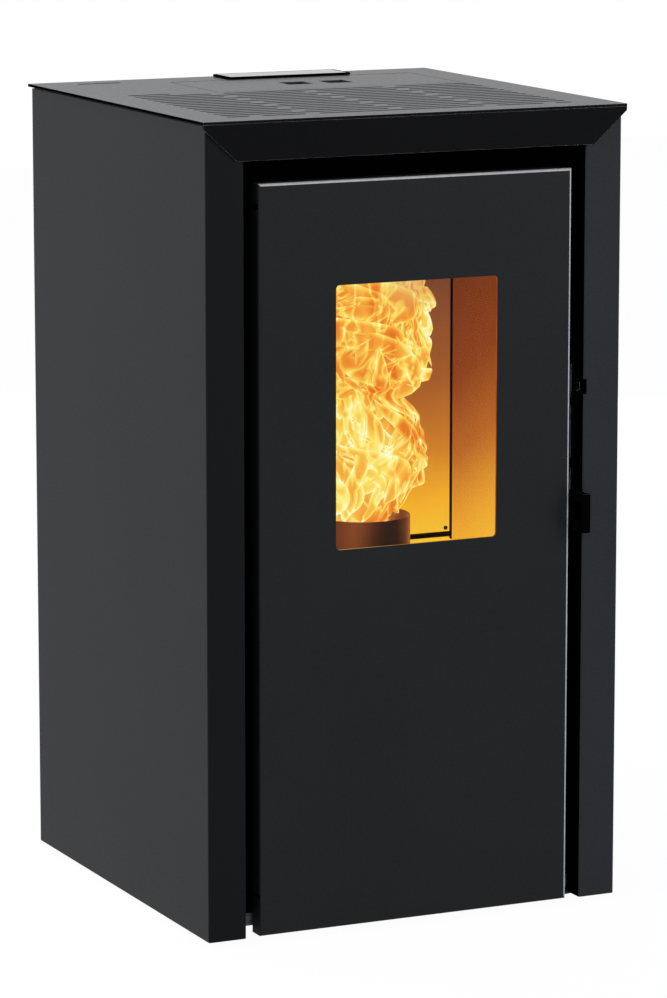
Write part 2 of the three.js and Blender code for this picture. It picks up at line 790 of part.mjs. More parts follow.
// Outer skin of the door, with its window and the gaps that the hinge arms swing through.
function doorPanel() {
  const outer = pan(-doorHalf, doorHalf, frontY, frontY + doorDepth, doorBottom, doorTop, bend);
  const inner = pan(-doorHalf + sheet, doorHalf - sheet, doorInner, frontY + doorDepth + sheet,
    doorBottom + sheet, doorTop - sheet, bend - sheet);
  const window = prism(roundedBox(-windowHalf, windowHalf, windowBottom, windowTop, windowRadius),
    'y', frontY - sheet, doorInner + sheet);
  const notches = hingeHeights.map((z) => {
    const half = armThickness / 2 + 1;
    return block(-doorHalf - sheet, -doorHalf + 2 * sheet, doorInner, frontY + doorDepth + sheet,
      z - half, z + half);
  });
  return piece('door_panel', cutBy(outer, [inner, window, ...notches]), 'blackPaint');
}

// Channel round the window behind the skin. It holds the glass and the rope seal.
function doorInnerFrame() {
  const back = frameFront - ropeThickness - 2 * seat;
  const band = doorFrameBand;
  const ends = doorFrameBandEnds;
  const outline = (inset, insetEnds) => roundedBox(-doorFrameHalf + inset, doorFrameHalf - inset,
    doorFrameBottom + insetEnds, doorFrameTop - insetEnds, bend);
  const ring = prism(holed(outline(0, 0), [outline(band, ends)]), 'y', doorInner + seat, back);
  const hollow = prism(holed(outline(sheet, sheet), [outline(band - sheet, ends - sheet)]),
    'y', doorInner, back - sheet);
  return piece('door_inner_frame', ring.subtract(hollow), 'gapBlack');
}

function doorRopeSeal() {
  const back = frameFront - seat;
  const outline = (inset) => roundedBox(-doorFrameHalf + inset, doorFrameHalf - inset,
    doorFrameBottom + inset, doorFrameTop - inset, ropeWidth);
  const ring = holed(outline(ropeInset), [outline(ropeInset + ropeWidth)]);
  return piece('door_rope_seal', prism(ring, 'y', back - ropeThickness, back), 'rope');
}

// Glass, the flat gasket in front of it and the two strips that hold it.
function doorGlazing() {
  const half = windowHalf + glassMargin;
  const low = windowBottom - glassMargin;
  const high = windowTop + glassMargin;
  const gasketFront = doorInner + seat;
  const glassFront = gasketFront + gasketThickness + seat;
  const glassBack = glassFront + glassThickness;
  const gasket = prism(holed(roundedBox(-half, half, low, high, windowRadius),
    [roundedBox(-windowHalf - 1, windowHalf + 1, windowBottom - 1, windowTop + 1, windowRadius)]),
  'y', gasketFront, gasketFront + gasketThickness);
  const glass = prism(roundedBox(-half, half, low, high, windowRadius), 'y', glassFront, glassBack);
  const reach = doorFrameHalf - doorFrameBand - bend;
  const strips = [['glass_clip_lower', doorFrameBottom + doorFrameBandEnds + seat, low + clipOverlap],
    ['glass_clip_upper', high - clipOverlap, doorFrameTop - doorFrameBandEnds - seat]];
  return [piece('glass_gasket', gasket, 'rope'),
    piece('door_glass', glass, 'glass'),
    ...strips.map(([name, z0, z1]) => (
      piece(name, block(-reach, reach, glassBack + seat, glassBack + seat + clipThickness, z0, z1),
        'zincSteel')))];
}

// Strip on the door's right edge, with the lugs that the handle's rod turns in.
function latchBracket() {
  const x0 = doorHalf + seat;
  const bottom = latchLugs[0] - latchLugHeight;
  const strip = block(x0, x0 + latchStrip, rodY - 2 * rodRadius, frontY + doorDepth - sheet,
    bottom, latchLugs[1] + 2 * latchLugHeight);
  const lugs = latchLugs.map((z) => (
    block(x0, rodX + rodRadius + latchStrip, rodY - rodRadius - 1, rodY + rodRadius + 1,
      z, z + latchLugHeight)));
  const bore = rod('z', rodX, rodY, rodRadius + pivotClearance, 0, doorTop);
  return piece('latch_bracket', joined([strip, ...lugs]).subtract(bore), 'gapBlack');
}

// Upright rod with a rounded head, a U-shaped grip near its foot and the latch's tongue.
function doorHandle() {
  const profile = [[0, rodBottom], [rodRadius, rodBottom], [rodRadius, rodTop - rodRadius],
    [rodRadius * 0.8, rodTop - rodRadius * 0.4], [rodRadius * 0.4, rodTop], [0, rodTop]];
  const upright = turned(profile, smallSides);
  const armTops = [rodBottom + gripArmHeight, rodBottom + 2 * gripArmHeight + gripArmGap];
  const arms = armTops.map((z) => (
    block(-rodRadius, rodRadius, -gripReach, 0, z - gripArmHeight, z)));
  const grip = prism(roundedBox(-gripWidth / 2, gripWidth / 2, -gripReach - gripThickness / 2,
    -gripReach + gripThickness / 2, 2), 'z', rodBottom, armTops[1]);
  const tongueTip = openingHalf - latchTongueGap - rodX;
  const tongue = block(0, tongueTip, -rodRadius, rodRadius, latchTongueAt - latchTongueHeight / 2,
    latchTongueAt + latchTongueHeight / 2);
  const handle = piece('door_handle', joined([upright, ...arms, grip, tongue]), 'blackPaint');
  handle.position.set(rodX, rodY, 0);
  return handle;
}

// Box behind the slot in the right-hand return, for the tongue to catch in.
function latchKeeper() {
  const x0 = openingHalf + sheet + seat;
  const z = latchTongueAt;
  const body = block(x0, x0 + keeperDepth, rodY - bend, rodY + keeperWidth,
    z - keeperHeight / 2, z + keeperHeight / 2);
  const pocket = block(x0 - 1, x0 + keeperDepth - sheet, rodY - bend + sheet,
    rodY + keeperWindow / 2, z - keeperWindow / 2, z + keeperWindow / 2);
  return piece('latch_keeper', body.subtract(pocket), 'zincSteel');
}

// Axis of a cutter that follows the feed screw or the chute.
function alongLine(start, direction, radius, from, to, sides = roundSides) {
  const geometry = new THREE.CylinderGeometry(radius, radius, to - from, sides);
  geometry.translate(0, (from + to) / 2, 0);
  const turn = new THREE.Quaternion().setFromUnitVectors(new THREE.Vector3(0, 1, 0), direction);
  geometry.applyQuaternion(turn);
  geometry.translate(start.x, start.y, start.z);
  return solid(geometry);
}

function chuteStart() {
  return augerFoot.clone().addScaledVector(augerRise, chuteAlong);
}

const chuteFall = new THREE.Vector3(0, -1, -1).normalize();

// Welded box with a floor between the fire and the ash drawer.
function fireboxShell() {
  const outer = block(-fireboxHalf, fireboxHalf, fireboxFront, fireboxBack,
    fireboxBottom, fireboxTop);
  const back = fireboxBack - sheet;
  const ashRoom = block(-fireboxInner, fireboxInner, fireboxFront - 1, back,
    fireboxBottom + sheet, fireboxFloor);
  const fireRoom = block(-fireboxInner, fireboxInner, fireboxFront - 1, back,
    floorTop, fireboxTop - sheet);
  const potHole = rod('z', 0, potY, potCollarRadius + 2 * potClearance, fireboxFloor - 1,
    floorTop + 1, roundSides);
  const smokeHole = rod('z', smokeHoleX, ductFrontY + ductUprightDepth / 2, smokeHoleRadius,
    fireboxBottom - 1, fireboxBottom + sheet + 1);
  const airHole = rod('y', airPipeX, airPipeZ, airPipeRadius - airPipeWall, back - 1,
    fireboxBack + 1, roundSides);
  const igniterHole = rod('y', igniterX, igniterZ, igniterRadius + seat, back - 1, fireboxBack + 1);
  const chuteHole = alongLine(chuteStart(), chuteFall, chuteRadius + seat, 0, chuteLength);
  return piece('firebox_shell', cutBy(outer,
    [ashRoom, fireRoom, potHole, smokeHole, airHole, igniterHole, chuteHole]), 'castIron');
}

// Plate behind the flames, with its lower edge folded forward.
function fireboxBackPanel() {
  const y0 = backPanelFront;
  const plate = block(-backPanelHalf, backPanelHalf, y0, y0 + sheet, backPanelBottom, backPanelTop);
  const lip = block(-backPanelHalf, backPanelHalf, y0 - backPanelLip, y0 + sheet,
    backPanelBottom, backPanelBottom + sheet);
  const chuteHole = alongLine(chuteStart(), chuteFall, chuteRadius + seat, 0, chuteLength + 20);
  return piece('firebox_back_panel', joined([plate, lip]).subtract(chuteHole), 'vermiculite');
}

function fireboxLining(name, side) {
  const far = side * (fireboxInner - seat);
  const [x0, x1] = [far, far - side * liningThickness].sort((a, b) => a - b);
  const z0 = floorTop + seat;
  const y1 = backPanelFront + sheet;
  return piece(name, block(x0, x1, fireboxFront + sheet, y1, z0, z0 + liningHeight), 'vermiculite');
}

// Slab over the fire, resting on the side linings.
function bafflePlate() {
  const z0 = floorTop + seat + liningHeight + seat;
  const half = fireboxInner - 1;
  const y1 = backPanelFront + sheet;
  return piece('baffle_plate', block(-half, half, y1 - baffleDepth, y1, z0, z0 + baffleThickness),
    'vermiculite');
}

// Plate with a raised ring that the burn pot drops into.
function potSupport() {
  const z0 = floorTop + seat;
  const plate = block(-potSupportHalf, potSupportHalf, potY - potSupportRadius,
    backPanelFront - backPanelLip - sheet, z0, z0 + floorThickness);
  const ring = rod('z', 0, potY, potCollarRadius + potClearance + 2 * potWall, z0,
    z0 + potSupportHeight, roundSides);
  const bore = rod('z', 0, potY, potCollarRadius + potClearance, z0 - 1,
    z0 + potSupportHeight + 1, roundSides);
  return piece('pot_support', plate.add(ring).subtract(bore), 'castIron');
}

// Burn pot: a cup with a narrower collar below, and air holes in its floor.
function burnPot() {
  const floor = potBottom + potWall;
  const step = potSeat + potWall;
  const profile = [[0, potBottom], [potCollarRadius, potBottom], [potCollarRadius, potSeat],
    [potRadius, potSeat], [potRadius, potRim], [potRadius - potWall, potRim],
    [potRadius - potWall, step], [potCollarRadius - potWall, step],
    [potCollarRadius - potWall, floor], [0, floor]];
  const holes = [];
  for (let i = 0; i < potHoleCount; i += 1) {
    const turn = (2 * Math.PI * i) / potHoleCount;
    holes.push(rod('z', potHoleRing * Math.cos(turn), potHoleRing * Math.sin(turn), potHoleRadius,
      potBottom - 1, floor + 1, smallSides / 2));
  }
  const pot = piece('burn_pot', cutBy(turned(profile, 2 * smallSides), holes), 'castIron');
  pot.position.set(0, potY, 0);
  return pot;
}

// Two rails and a tie between them, on the floor of the ash room, for the drawer to slide on.
function drawerRunners() {
  const z0 = fireboxBottom + sheet + seat;
  const y0 = fireboxFront + sheet;
  const y1 = fireboxBack - 2 * sheet;
  const rails = [block(-drawerHalf, -drawerHalf + runnerWidth, y0, y1, z0, z0 + runnerHeight),
    block(drawerHalf - runnerWidth, drawerHalf, y0, y1, z0, z0 + runnerHeight)];
  const tie = block(-drawerHalf, drawerHalf, y1 - runnerWidth, y1, z0, z0 + sheet);
  return piece('drawer_runners', joined([...rails, tie]), 'zincSteel');
}

// Open-topped drawer with a wider front plate and a bar to pull it by.
function ashDrawer() {
  const z1 = drawerBottom + drawerHeight;
  const y0 = frameFront - seat - sheet;
  const y1 = y0 + drawerLength;
  const tub = block(-drawerHalf, drawerHalf, y0 + sheet / 2, y1, drawerBottom, z1);
  const inside = block(-drawerHalf + sheet, drawerHalf - sheet, y0 + sheet, y1 - sheet,
    drawerBottom + sheet, z1 + 1);
  const plate = block(-drawerHalf - drawerFrontMargin, drawerHalf + drawerFrontMargin, y0, y0 + sheet,
    drawerBottom - drawerFrontMargin + drawerClearance, z1 + drawerFrontMargin);
  const middle = (drawerBottom + z1) / 2;
  const pull = block(-drawerPullHalf, drawerPullHalf, y0 - drawerPullReach, y0 + sheet / 2,
    middle - drawerPullThickness, middle + drawerPullThickness);
  const grasp = block(-drawerPullHalf + drawerPullThickness, drawerPullHalf - drawerPullThickness,
    y0 - drawerPullReach + drawerPullThickness, y0, middle - 2 * drawerPullThickness,
    middle + 2 * drawerPullThickness);
  return piece('ash_drawer', cutBy(tub, [inside]).add(plate).add(pull.subtract(grasp)), 'zincSteel');
}

// Ceramic rod that lights the pellets through the lower part of the pot.
function igniter() {
  const tip = potY + potCollarRadius + potClearance;
  const stem = rod('y', igniterX, igniterZ, igniterRadius, tip, tip + igniterLength);
  const flange = rod('y', igniterX, igniterZ, igniterFlangeRadius, fireboxBack + seat,
    fireboxBack + seat + 2 * sheet);
  return piece('igniter', stem.add(flange), 'ceramic');
}

function airInletPipe() {
  const y0 = fireboxBack + seat;
  const bore = airPipeRadius - airPipeWall;
  const tube = pipe('y', airPipeX, airPipeZ, airPipeRadius, bore, y0, rearPanelBack + airPipeReach);
  const flange = pipe('y', airPipeX, airPipeZ, airPipeRadius + airFlange, bore, y0, y0 + sheet);
  return piece('air_inlet_pipe', tube.add(flange), 'zincSteel');
}

// Everything that lies on the tilted axis of the feed screw, written along its own Z.
function augerGroup() {
  const group = new THREE.Group();
  group.position.copy(augerFoot);
  group.rotation.x = tilt;
  group.add(augerScrew(), augerBearing(), augerGearmotor());
  return group;
}

// Helical flight on a round shaft.
function augerScrew() {
  const stepsPerTurn = 12;
  const steps = stepsPerTurn * screwTurns;
  const places = [];
  const faces = [];
  for (let i = 0; i <= steps; i += 1) {
    const turn = (2 * Math.PI * i) / stepsPerTurn;
    const z = screwStart + (screwPitch * i) / stepsPerTurn;
    for (const [radius, rise] of [[screwShaftRadius - 1, 0], [screwRadius, 0],
      [screwRadius, screwFlight], [screwShaftRadius - 1, screwFlight]]) {
      places.push(radius * Math.cos(turn), radius * Math.sin(turn), z + rise);
    }
    if (i < steps) {
      const here = 4 * i;
      for (let k = 0; k < 4; k += 1) {
        const next = (k + 1) % 4;
        faces.push(here + k, here + next, here + 4 + next, here + k, here + 4 + next, here + 4 + k);
      }
    }
  }
  const last = 4 * steps;
  faces.push(0, 2, 1, 0, 3, 2, last, last + 1, last + 2, last, last + 2, last + 3);
  const flight = new THREE.BufferGeometry();
  flight.setAttribute('position', new THREE.Float32BufferAttribute(places, 3));
  flight.setIndex(faces.reverse());
  const shaft = rod('z', 0, 0, screwShaftRadius, augerTubeStart - shaftEngagement,
    augerTubeEnd - seat, smallSides);
  return piece('auger_screw', solid(flight).add(shaft), 'brightSteel');
}

function augerBearing() {
  const end = augerTubeEnd - seat;
  return piece('auger_bearing', pipe('z', 0, 0, augerTubeRadius - augerTubeWall - seat,
    screwShaftRadius + pivotClearance, end - bearingLength, end), 'castIron');
}

function augerGearmotor() {
  const top = augerTubeStart - seat;
  const low = top - gearboxLength;
  const box = prism(roundedBox(-gearboxHalf, gearboxHalf, -gearboxHalf, gearboxHalf, 4 * sheet),
    'z', low, top);
  const motor = rod('z', 0, 0, gearMotorRadius, low - gearMotorLength, low + 1, roundSides);
  const bore = rod('z', 0, 0, screwShaftRadius + pivotClearance, top - shaftEngagement - 2 * sheet,
    top + 1);
  return piece('auger_gearmotor', box.add(motor).subtract(bore), 'zincSteel');
}

function augerTube() {
  const outer = alongLine(augerFoot, augerRise, augerTubeRadius, augerTubeStart, augerTubeEnd);
  const bore = alongLine(augerFoot, augerRise, augerTubeRadius - augerTubeWall,
    augerTubeStart - 1, augerTubeEnd + 1);
  const inlet = block(-throatHalf + hopperWall, throatHalf - hopperWall, throatFront + hopperWall,
    throatRear, throatFoot, hopperThroat);
  const outlet = alongLine(chuteStart(), chuteFall, chuteRadius - chuteWall, 0, chuteLength);
  return piece('auger_tube', cutBy(outer, [bore, inlet, outlet]), 'zincSteel');
}

// Sloping pipe from the top of the feed screw to above the burn pot.
function pelletChute() {
  const outer = alongLine(chuteStart(), chuteFall, chuteRadius, 0, chuteLength);
  const bore = alongLine(chuteStart(), chuteFall, chuteRadius - chuteWall, -1, chuteLength + 1);
  const tube = alongLine(augerFoot, augerRise, augerTubeRadius + seat, 0, augerTubeEnd + chuteLength);
  return piece('pellet_chute', cutBy(outer, [bore, tube]), 'zincSteel');
}

// Bin under the lid: upright walls, a funnel, and a throat that sits on the feed tube.
function pelletHopper() {
  const shape = (inset, extra) => {
    const wide = [hopperX - hopperHalf + inset, hopperX + hopperHalf - inset,
      hopperFrontY + inset, hopperRearY - inset];
    const narrow = [-throatHalf + inset, throatHalf - inset, throatFront + inset, throatRear - inset];
    return joined([block(...wide, hopperShoulder, topUnder - seat + extra),
      taper(narrow, hopperThroat, wide, hopperShoulder),
      block(...narrow, throatFoot - extra, hopperThroat)]);
  };
  const tube = alongLine(augerFoot, augerRise, augerTubeRadius + seat, 0, augerTubeEnd);
  return piece('pellet_hopper', cutBy(shape(0, 0), [shape(hopperWall, 1), tube]), 'zincSteel');
}

// Guard across the bin that keeps fingers off the screw.
function hopperGrate() {
  const x0 = hopperX - hopperHalf + hopperWall + seat;
  const x1 = hopperX + hopperHalf - hopperWall - seat;
  const y0 = hopperFrontY + hopperWall + seat;
  const y1 = hopperRearY - hopperWall - seat;
  const pitch = (x1 - x0 - grateBarWidth) / grateBars;
  const gaps = [];
  for (let i = 0; i < grateBars; i += 1) {
    const left = x0 + grateBarWidth + i * pitch;
    gaps.push(roundedBox(left, left + pitch - grateBarWidth, y0 + grateBarWidth,
      y1 - grateBarWidth, 1, 1));
  }
  const outline = roundedBox(x0, x1, y0, y1, 1, 1);
  return piece('hopper_grate', prism(holed(outline, gaps), 'z', grateHeight,
    grateHeight + grateThickness), 'zincSteel');
}

// Box duct from the firebox floor down and back to the blower's inlet.
function smokeDuct() {
  const z0 = trayTop + seat;
  const z1 = z0 + ductHeight;
  const top = fireboxBottom - seat;
  const shape = (inset) => block(ductX - ductHalf + inset, ductX + ductHalf - inset,
    ductFrontY + inset, ductRearY - inset, z0 + inset, z1 - inset)
    .add(block(ductX - ductHalf + inset, ductX + ductHalf - inset, ductFrontY + inset,
      ductFrontY + ductUprightDepth - inset, z0 + inset, top + 2 * inset));
  const mouth = rod('z', ductX, blowerY, blowerInletRadius - sheet, z1 - 2 * sheet, z1 + 1,
    roundSides);
  return piece('smoke_duct', cutBy(shape(0), [shape(sheet), mouth]), 'zincSteel');
}

// Drum with a straight outlet to the rear, where the flue spigot joins.
function blowerHousing() {
  const z0 = blowerBottom;
  const z1 = z0 + blowerHeight;
  const shape = (inset) => rod('z', ductX, blowerY, blowerRadius - inset, z0 + inset, z1 - inset,
    roundSides)
    .add(block(outletX - outletHalf + inset, outletX + outletHalf - inset, blowerY,
      outletRearY - inset, z0 + inset, z1 - inset));
  const mouth = rod('z', ductX, blowerY, blowerInletRadius, z0 - 1, z0 + 2 * blowerWall, roundSides);
  const shaft = rod('z', ductX, blowerY, blowerShaftRadius + 1, z1 - 2 * blowerWall, z1 + 1);
  const outlet = rod('y', outletX, z0 + blowerHeight / 2, flueRadius - flueWall,
    outletRearY - 2 * blowerWall, outletRearY + 1, roundSides);
  return piece('exhaust_blower_housing', cutBy(shape(0), [shape(blowerWall), mouth, shaft, outlet]),
    'castIron');
}

// Back plate, straight blades and the shaft that reaches up into the motor.
function exhaustImpeller() {
  const z0 = impellerLift;
  const z1 = z0 + impellerHeight;
  const parts = [rod('z', 0, 0, impellerRadius, z1 - bladeThickness, z1, roundSides),
    rod('z', 0, 0, 2 * blowerShaftRadius, z0, z1, smallSides),
    rod('z', 0, 0, blowerShaftRadius, z1 - 1, blowerHeight + blowerShaftReach, smallSides)];
  for (let i = 0; i < impellerBlades; i += 1) {
    const blade = new THREE.BoxGeometry(impellerRadius - blowerShaftRadius, bladeThickness,
      impellerHeight - 1);
    blade.translate((impellerRadius + blowerShaftRadius) / 2 - 1, 0, (z0 + z1 - 1) / 2);
    blade.rotateZ((2 * Math.PI * i) / impellerBlades);
    parts.push(solid(blade));
  }
  const impeller = piece('exhaust_impeller', joined(parts), 'brightSteel');
  impeller.position.set(ductX, blowerY, blowerBottom);
  return impeller;
}

function exhaustMotor() {
  const z0 = blowerHeight + seat;
  const top = z0 + blowerMotorHeight;
  const can = [[0, z0], [blowerMotorRadius, z0], [blowerMotorRadius, top - blowerMotorChamfer],
    [blowerMotorRadius - blowerMotorChamfer, top], [0, top]];
  const bore = rod('z', 0, 0, blowerShaftRadius + pivotClearance, z0 - 1, z0 + blowerShaftReach + 1);
  const motor = piece('exhaust_motor', turned(can).subtract(bore), 'blackPlastic');
  motor.position.set(ductX, blowerY, blowerBottom);
  return motor;
}

// Round spigot with a rolled bead, on the blower's outlet.
function flueSpigot() {
  const z = blowerBottom + blowerHeight / 2;
  const bore = flueRadius - flueWall;
  const y0 = outletRearY + seat;
  const beadY = rearPanelBack + flueReach / 2;
  const tube = pipe('y', outletX, z, flueRadius, bore, y0, flueEndY);
  const bead = pipe('y', outletX, z, flueRadius + flueBeadRise, bore, beadY,
    beadY + flueBeadWidth);
  return piece('flue_spigot', tube.add(bead), 'gapBlack');
}

// Casing of the crossflow fan, open above and to the rear, with an end plate at each side.
function roomFanHousing() {
  const y1 = fanFrontY + fanDepth;
  const z1 = fanBottom + fanHeight;
  const outer = block(fanLeftX, fanRightX, fanFrontY, y1, fanBottom, z1);
  const inner = block(fanLeftX + sheet, fanRightX - sheet, fanFrontY + sheet, y1 - sheet,
    fanBottom + sheet, z1 - sheet);
  const outlet = block(fanLeftX + 3 * sheet, fanRightX - 3 * sheet, fanFrontY + 3 * sheet,
    fanFrontY + 3 * sheet + fanOutletDepth, z1 - 2 * sheet, z1 + 1);
  const intake = block(fanLeftX + 3 * sheet, fanRightX - 3 * sheet, y1 - 2 * sheet, y1 + 1,
    fanBottom + fanHeight / 4, z1 - fanHeight / 4);
  const shaft = rod('x', fanY, fanZ, fanShaftRadius + seat, fanLeftX - 1, fanRightX + 1);
  return piece('room_fan_housing', cutBy(outer, [inner, outlet, intake, shaft]), 'zincSteel');
}

// Long drum of blades between end discs, on a through shaft.
function roomFanRotor() {
  const x0 = fanLeftX + fanEndGap;
  const x1 = fanRightX - fanEndGap;
  const parts = [rod('x', 0, 0, fanShaftRadius, fanLeftX, fanRightX + fanMotorLength / 2)];
  for (const x of [x0, (x0 + x1) / 2 - 1, x1 - sheet]) {
    parts.push(rod('x', 0, 0, fanRotorRadius, x, x + sheet, roundSides));
  }
  for (let i = 0; i < fanBlades; i += 1) {
    const blade = new THREE.BoxGeometry(x1 - x0 - 1, bladeThickness, 3 * fanShaftRadius);
    blade.translate((x0 + x1) / 2, 0, fanRotorRadius - 2 * fanShaftRadius);
    blade.rotateX((2 * Math.PI * i) / fanBlades);
    parts.push(solid(blade));
  }
  const rotor = piece('room_fan_rotor', joined(parts), 'brightSteel');
  rotor.position.set(0, fanY, fanZ);
  return rotor;
}

function roomFanMotor() {
  const x0 = fanRightX + seat;
  const body = rod('x', fanY, fanZ, fanMotorRadius, x0, x0 + fanMotorLength, roundSides);
  const bore = rod('x', fanY, fanZ, fanShaftRadius + pivotClearance, x0 - 1,
    x0 + fanMotorLength / 2 + 1);
  return piece('room_fan_motor', body.subtract(bore), 'blackPlastic');
}

function controlBoardBox() {
  return piece('control_board_box', block(innerHalf - boardWidth, innerHalf, boardFrontY,
    boardFrontY + boardDepth, boardBottom, boardBottom + boardHeight), 'blackPlastic');
}

// Rear sheet with louvres, and holes for the flue, the air pipe and the electrics.
function rearPanel() {
  const outline = roundedBox(-innerHalf, innerHalf, trayRise, topUnder - seat, sheet);
  const holes = [round(outletX, blowerBottom + blowerHeight / 2, flueRadius + 1),
    round(airPipeX, airPipeZ, airPipeRadius + 1),
    round(inletX, capZ, capRadius / 2 + seat, smallSides),
    roundedBox(inletX - inletWidth / 2 - cutoutGap, inletX + inletWidth / 2 + cutoutGap,
      inletZ - inletHeight / 2 - cutoutGap, inletZ + inletHeight / 2 + cutoutGap, cutoutGap, 1),
    roundedBox(inletX - rockerWidth / 2 - rockerShell - cutoutGap,
      inletX + rockerWidth / 2 + rockerShell + cutoutGap,
      rockerZ - rockerHeight / 2 - rockerShell - cutoutGap,
      rockerZ + rockerHeight / 2 + rockerShell + cutoutGap, cutoutGap, 1)];
  for (let i = 0; i < louvreCount; i += 1) {
    const z = louvreZ + i * louvrePitch;
    holes.push(roundedBox(louvreX - louvreWidth / 2, louvreX + louvreWidth / 2,
      z - louvreHeight / 2, z + louvreHeight / 2, louvreHeight / 2));
  }
  return piece('rear_panel', prism(holed(outline, holes), 'y', rearPanelFront, rearPanelBack),
    'blackPaint');
}

// Socket for a mains lead: a bordered body with a well and three flat pins.
function powerInlet() {
  const y1 = rearPanelBack + seat;
  const back = y1 + sheet;
  const x = inletX;
  const body = block(x - inletWidth / 2, x + inletWidth / 2, back - inletDepth, back - 1,
    inletZ - inletHeight / 2, inletZ + inletHeight / 2);
  const border = block(x - inletWidth / 2 - inletBorder, x + inletWidth / 2 + inletBorder, y1, back,
    inletZ - inletHeight / 2 - inletBorder, inletZ + inletHeight / 2 + inletBorder);
  const well = block(x - inletWidth / 2 + sheet, x + inletWidth / 2 - sheet, back - inletWell,
    back + 1, inletZ - inletHeight / 2 + sheet, inletZ + inletHeight / 2 - sheet);
  const pins = [[-inletPinSpread, -inletPinOffset], [0, inletPinOffset],
    [inletPinSpread, -inletPinOffset]].map(([dx, dz]) => (
    block(x + dx - 1, x + dx + 1, back - inletWell - 1, back - inletPinSetback,
      inletZ + dz - sheet, inletZ + dz + sheet)));
  return piece('power_inlet', joined([body.add(border).subtract(well), ...pins]), 'blackPlastic');
}

// Frame of the mains switch, with the cheeks that the rocker turns between.
function switchFrame() {
  const y1 = rearPanelBack + seat;
  const x = inletX;
  const half = rockerWidth / 2 + seat;
  const tall = rockerHeight / 2 + rockerShell;
  const border = block(x - half - rockerFrame, x + half + rockerFrame, y1, y1 + sheet,
    rockerZ - tall - rockerFrame, rockerZ + tall + rockerFrame);
  const shell = block(x - half - rockerShell, x + half + rockerShell, y1 - inletWell, y1 + 1,
    rockerZ - tall, rockerZ + tall);
  const hole = block(x - half, x + half, y1 - inletWell + rockerShell, y1 + 2 * sheet,
    rockerZ - tall + rockerShell, rockerZ + tall - rockerShell);
  return piece('switch_frame', border.add(shell).subtract(hole), 'blackPlastic');
}

// Rocker: a shallow V across its pivot, which lies level with the rear panel.
function powerRocker() {
  const half = rockerHeight / 2 - 1;
  const face = rockerRise + sheet / 2;
  const outline = new THREE.Shape([[-rockerBelly, -half], [face - 1, -half], [face - 2, 0],
    [face + 1, half], [-rockerBelly, half], [-2 * rockerBelly, 0]].map(([y, z]) => new THREE.Vector2(y, z)));
  const rocker = piece('power_rocker', prism(outline, 'x', -rockerWidth / 2, rockerWidth / 2),
    'blackPlastic');
  rocker.position.set(inletX, rearPanelBack, rockerZ);
  return rocker;
}

// Screw cap over the reset button of the overheat thermostat.
function thermostatCap() {
  const y = rearPanelBack + seat;
  const cap = [[0, 0], [capRadius, 0], [capRadius, capReach - 2], [capRadius - 2, capReach],
    [0, capReach]];
  const stem = rod('z', 0, 0, capRadius / 2, -seat - 2 * sheet, 1);
  const made = piece('thermostat_cap', turned(cap, smallSides).add(stem), 'blackPlastic');
  made.position.set(inletX, y, capZ);
  made.rotation.x = -Math.PI / 2;
  return made;
}

const stove = new THREE.Group();
stove.add(
  baseTray(), ...levellingFeet(),
  sidePanel('side_panel_left', -1), sidePanel('side_panel_right', 1),
  rearPanel(), topCover(), hopperLid(), lidPivot('lid_pivot_left', -1), lidPivot('lid_pivot_right', 1),
  ...controlPanel(), innerFrontFrame(),
  ...hingeHeights.map((z, i) => hingeBracket(`hinge_bracket_${hingeNames[i]}`, z)),
  ...hingeHeights.map((z, i) => hingeLug(`hinge_lug_${hingeNames[i]}`, z)),
  doorPanel(), doorInnerFrame(), doorRopeSeal(), ...doorGlazing(),
  latchBracket(), doorHandle(), latchKeeper(),
  fireboxShell(), fireboxBackPanel(), fireboxLining('firebox_lining_left', -1),
  fireboxLining('firebox_lining_right', 1), bafflePlate(), potSupport(), burnPot(),
  drawerRunners(), ashDrawer(),
  igniter(), airInletPipe(), augerGroup(), augerTube(), pelletChute(), pelletHopper(), hopperGrate(),
  smokeDuct(), blowerHousing(), exhaustImpeller(), exhaustMotor(), flueSpigot(),
  roomFanHousing(), roomFanRotor(), roomFanMotor(),
  controlBoardBox(), powerInlet(), switchFrame(), powerRocker(), thermostatCap(),
);
stove.position.set(0, -(gripFrontY + flueEndY) / 2, footClear);

export default stove;
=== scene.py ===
# Pellet stove, dressed for rendering around its packed construction model.
# Metres, +Z up, the door faces -Y.
import json
import math
import random
import bmesh
import bpy
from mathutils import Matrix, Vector


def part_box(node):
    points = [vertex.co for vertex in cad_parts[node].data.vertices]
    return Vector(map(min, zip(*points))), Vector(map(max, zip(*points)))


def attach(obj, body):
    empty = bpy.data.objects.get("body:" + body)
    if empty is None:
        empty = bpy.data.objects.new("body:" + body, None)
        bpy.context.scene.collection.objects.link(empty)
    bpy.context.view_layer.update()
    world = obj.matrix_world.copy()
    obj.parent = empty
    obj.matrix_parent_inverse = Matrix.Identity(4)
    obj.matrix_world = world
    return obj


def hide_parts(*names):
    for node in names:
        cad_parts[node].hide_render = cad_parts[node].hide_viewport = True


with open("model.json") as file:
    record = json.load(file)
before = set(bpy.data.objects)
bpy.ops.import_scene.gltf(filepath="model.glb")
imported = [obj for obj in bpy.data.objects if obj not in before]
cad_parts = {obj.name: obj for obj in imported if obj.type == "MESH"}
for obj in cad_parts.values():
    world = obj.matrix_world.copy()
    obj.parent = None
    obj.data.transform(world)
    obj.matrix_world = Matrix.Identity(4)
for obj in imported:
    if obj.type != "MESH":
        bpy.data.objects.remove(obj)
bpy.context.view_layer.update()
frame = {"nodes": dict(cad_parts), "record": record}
nodeBody = {node: body for body, nodes in frame["record"]["behaviour"]["bodies"].items() for node in nodes}
slotOf = {row["node"]: row["material_slot"] for row in frame["record"]["subparts"]}
print("frame loaded:", len(frame["nodes"]), "nodes")


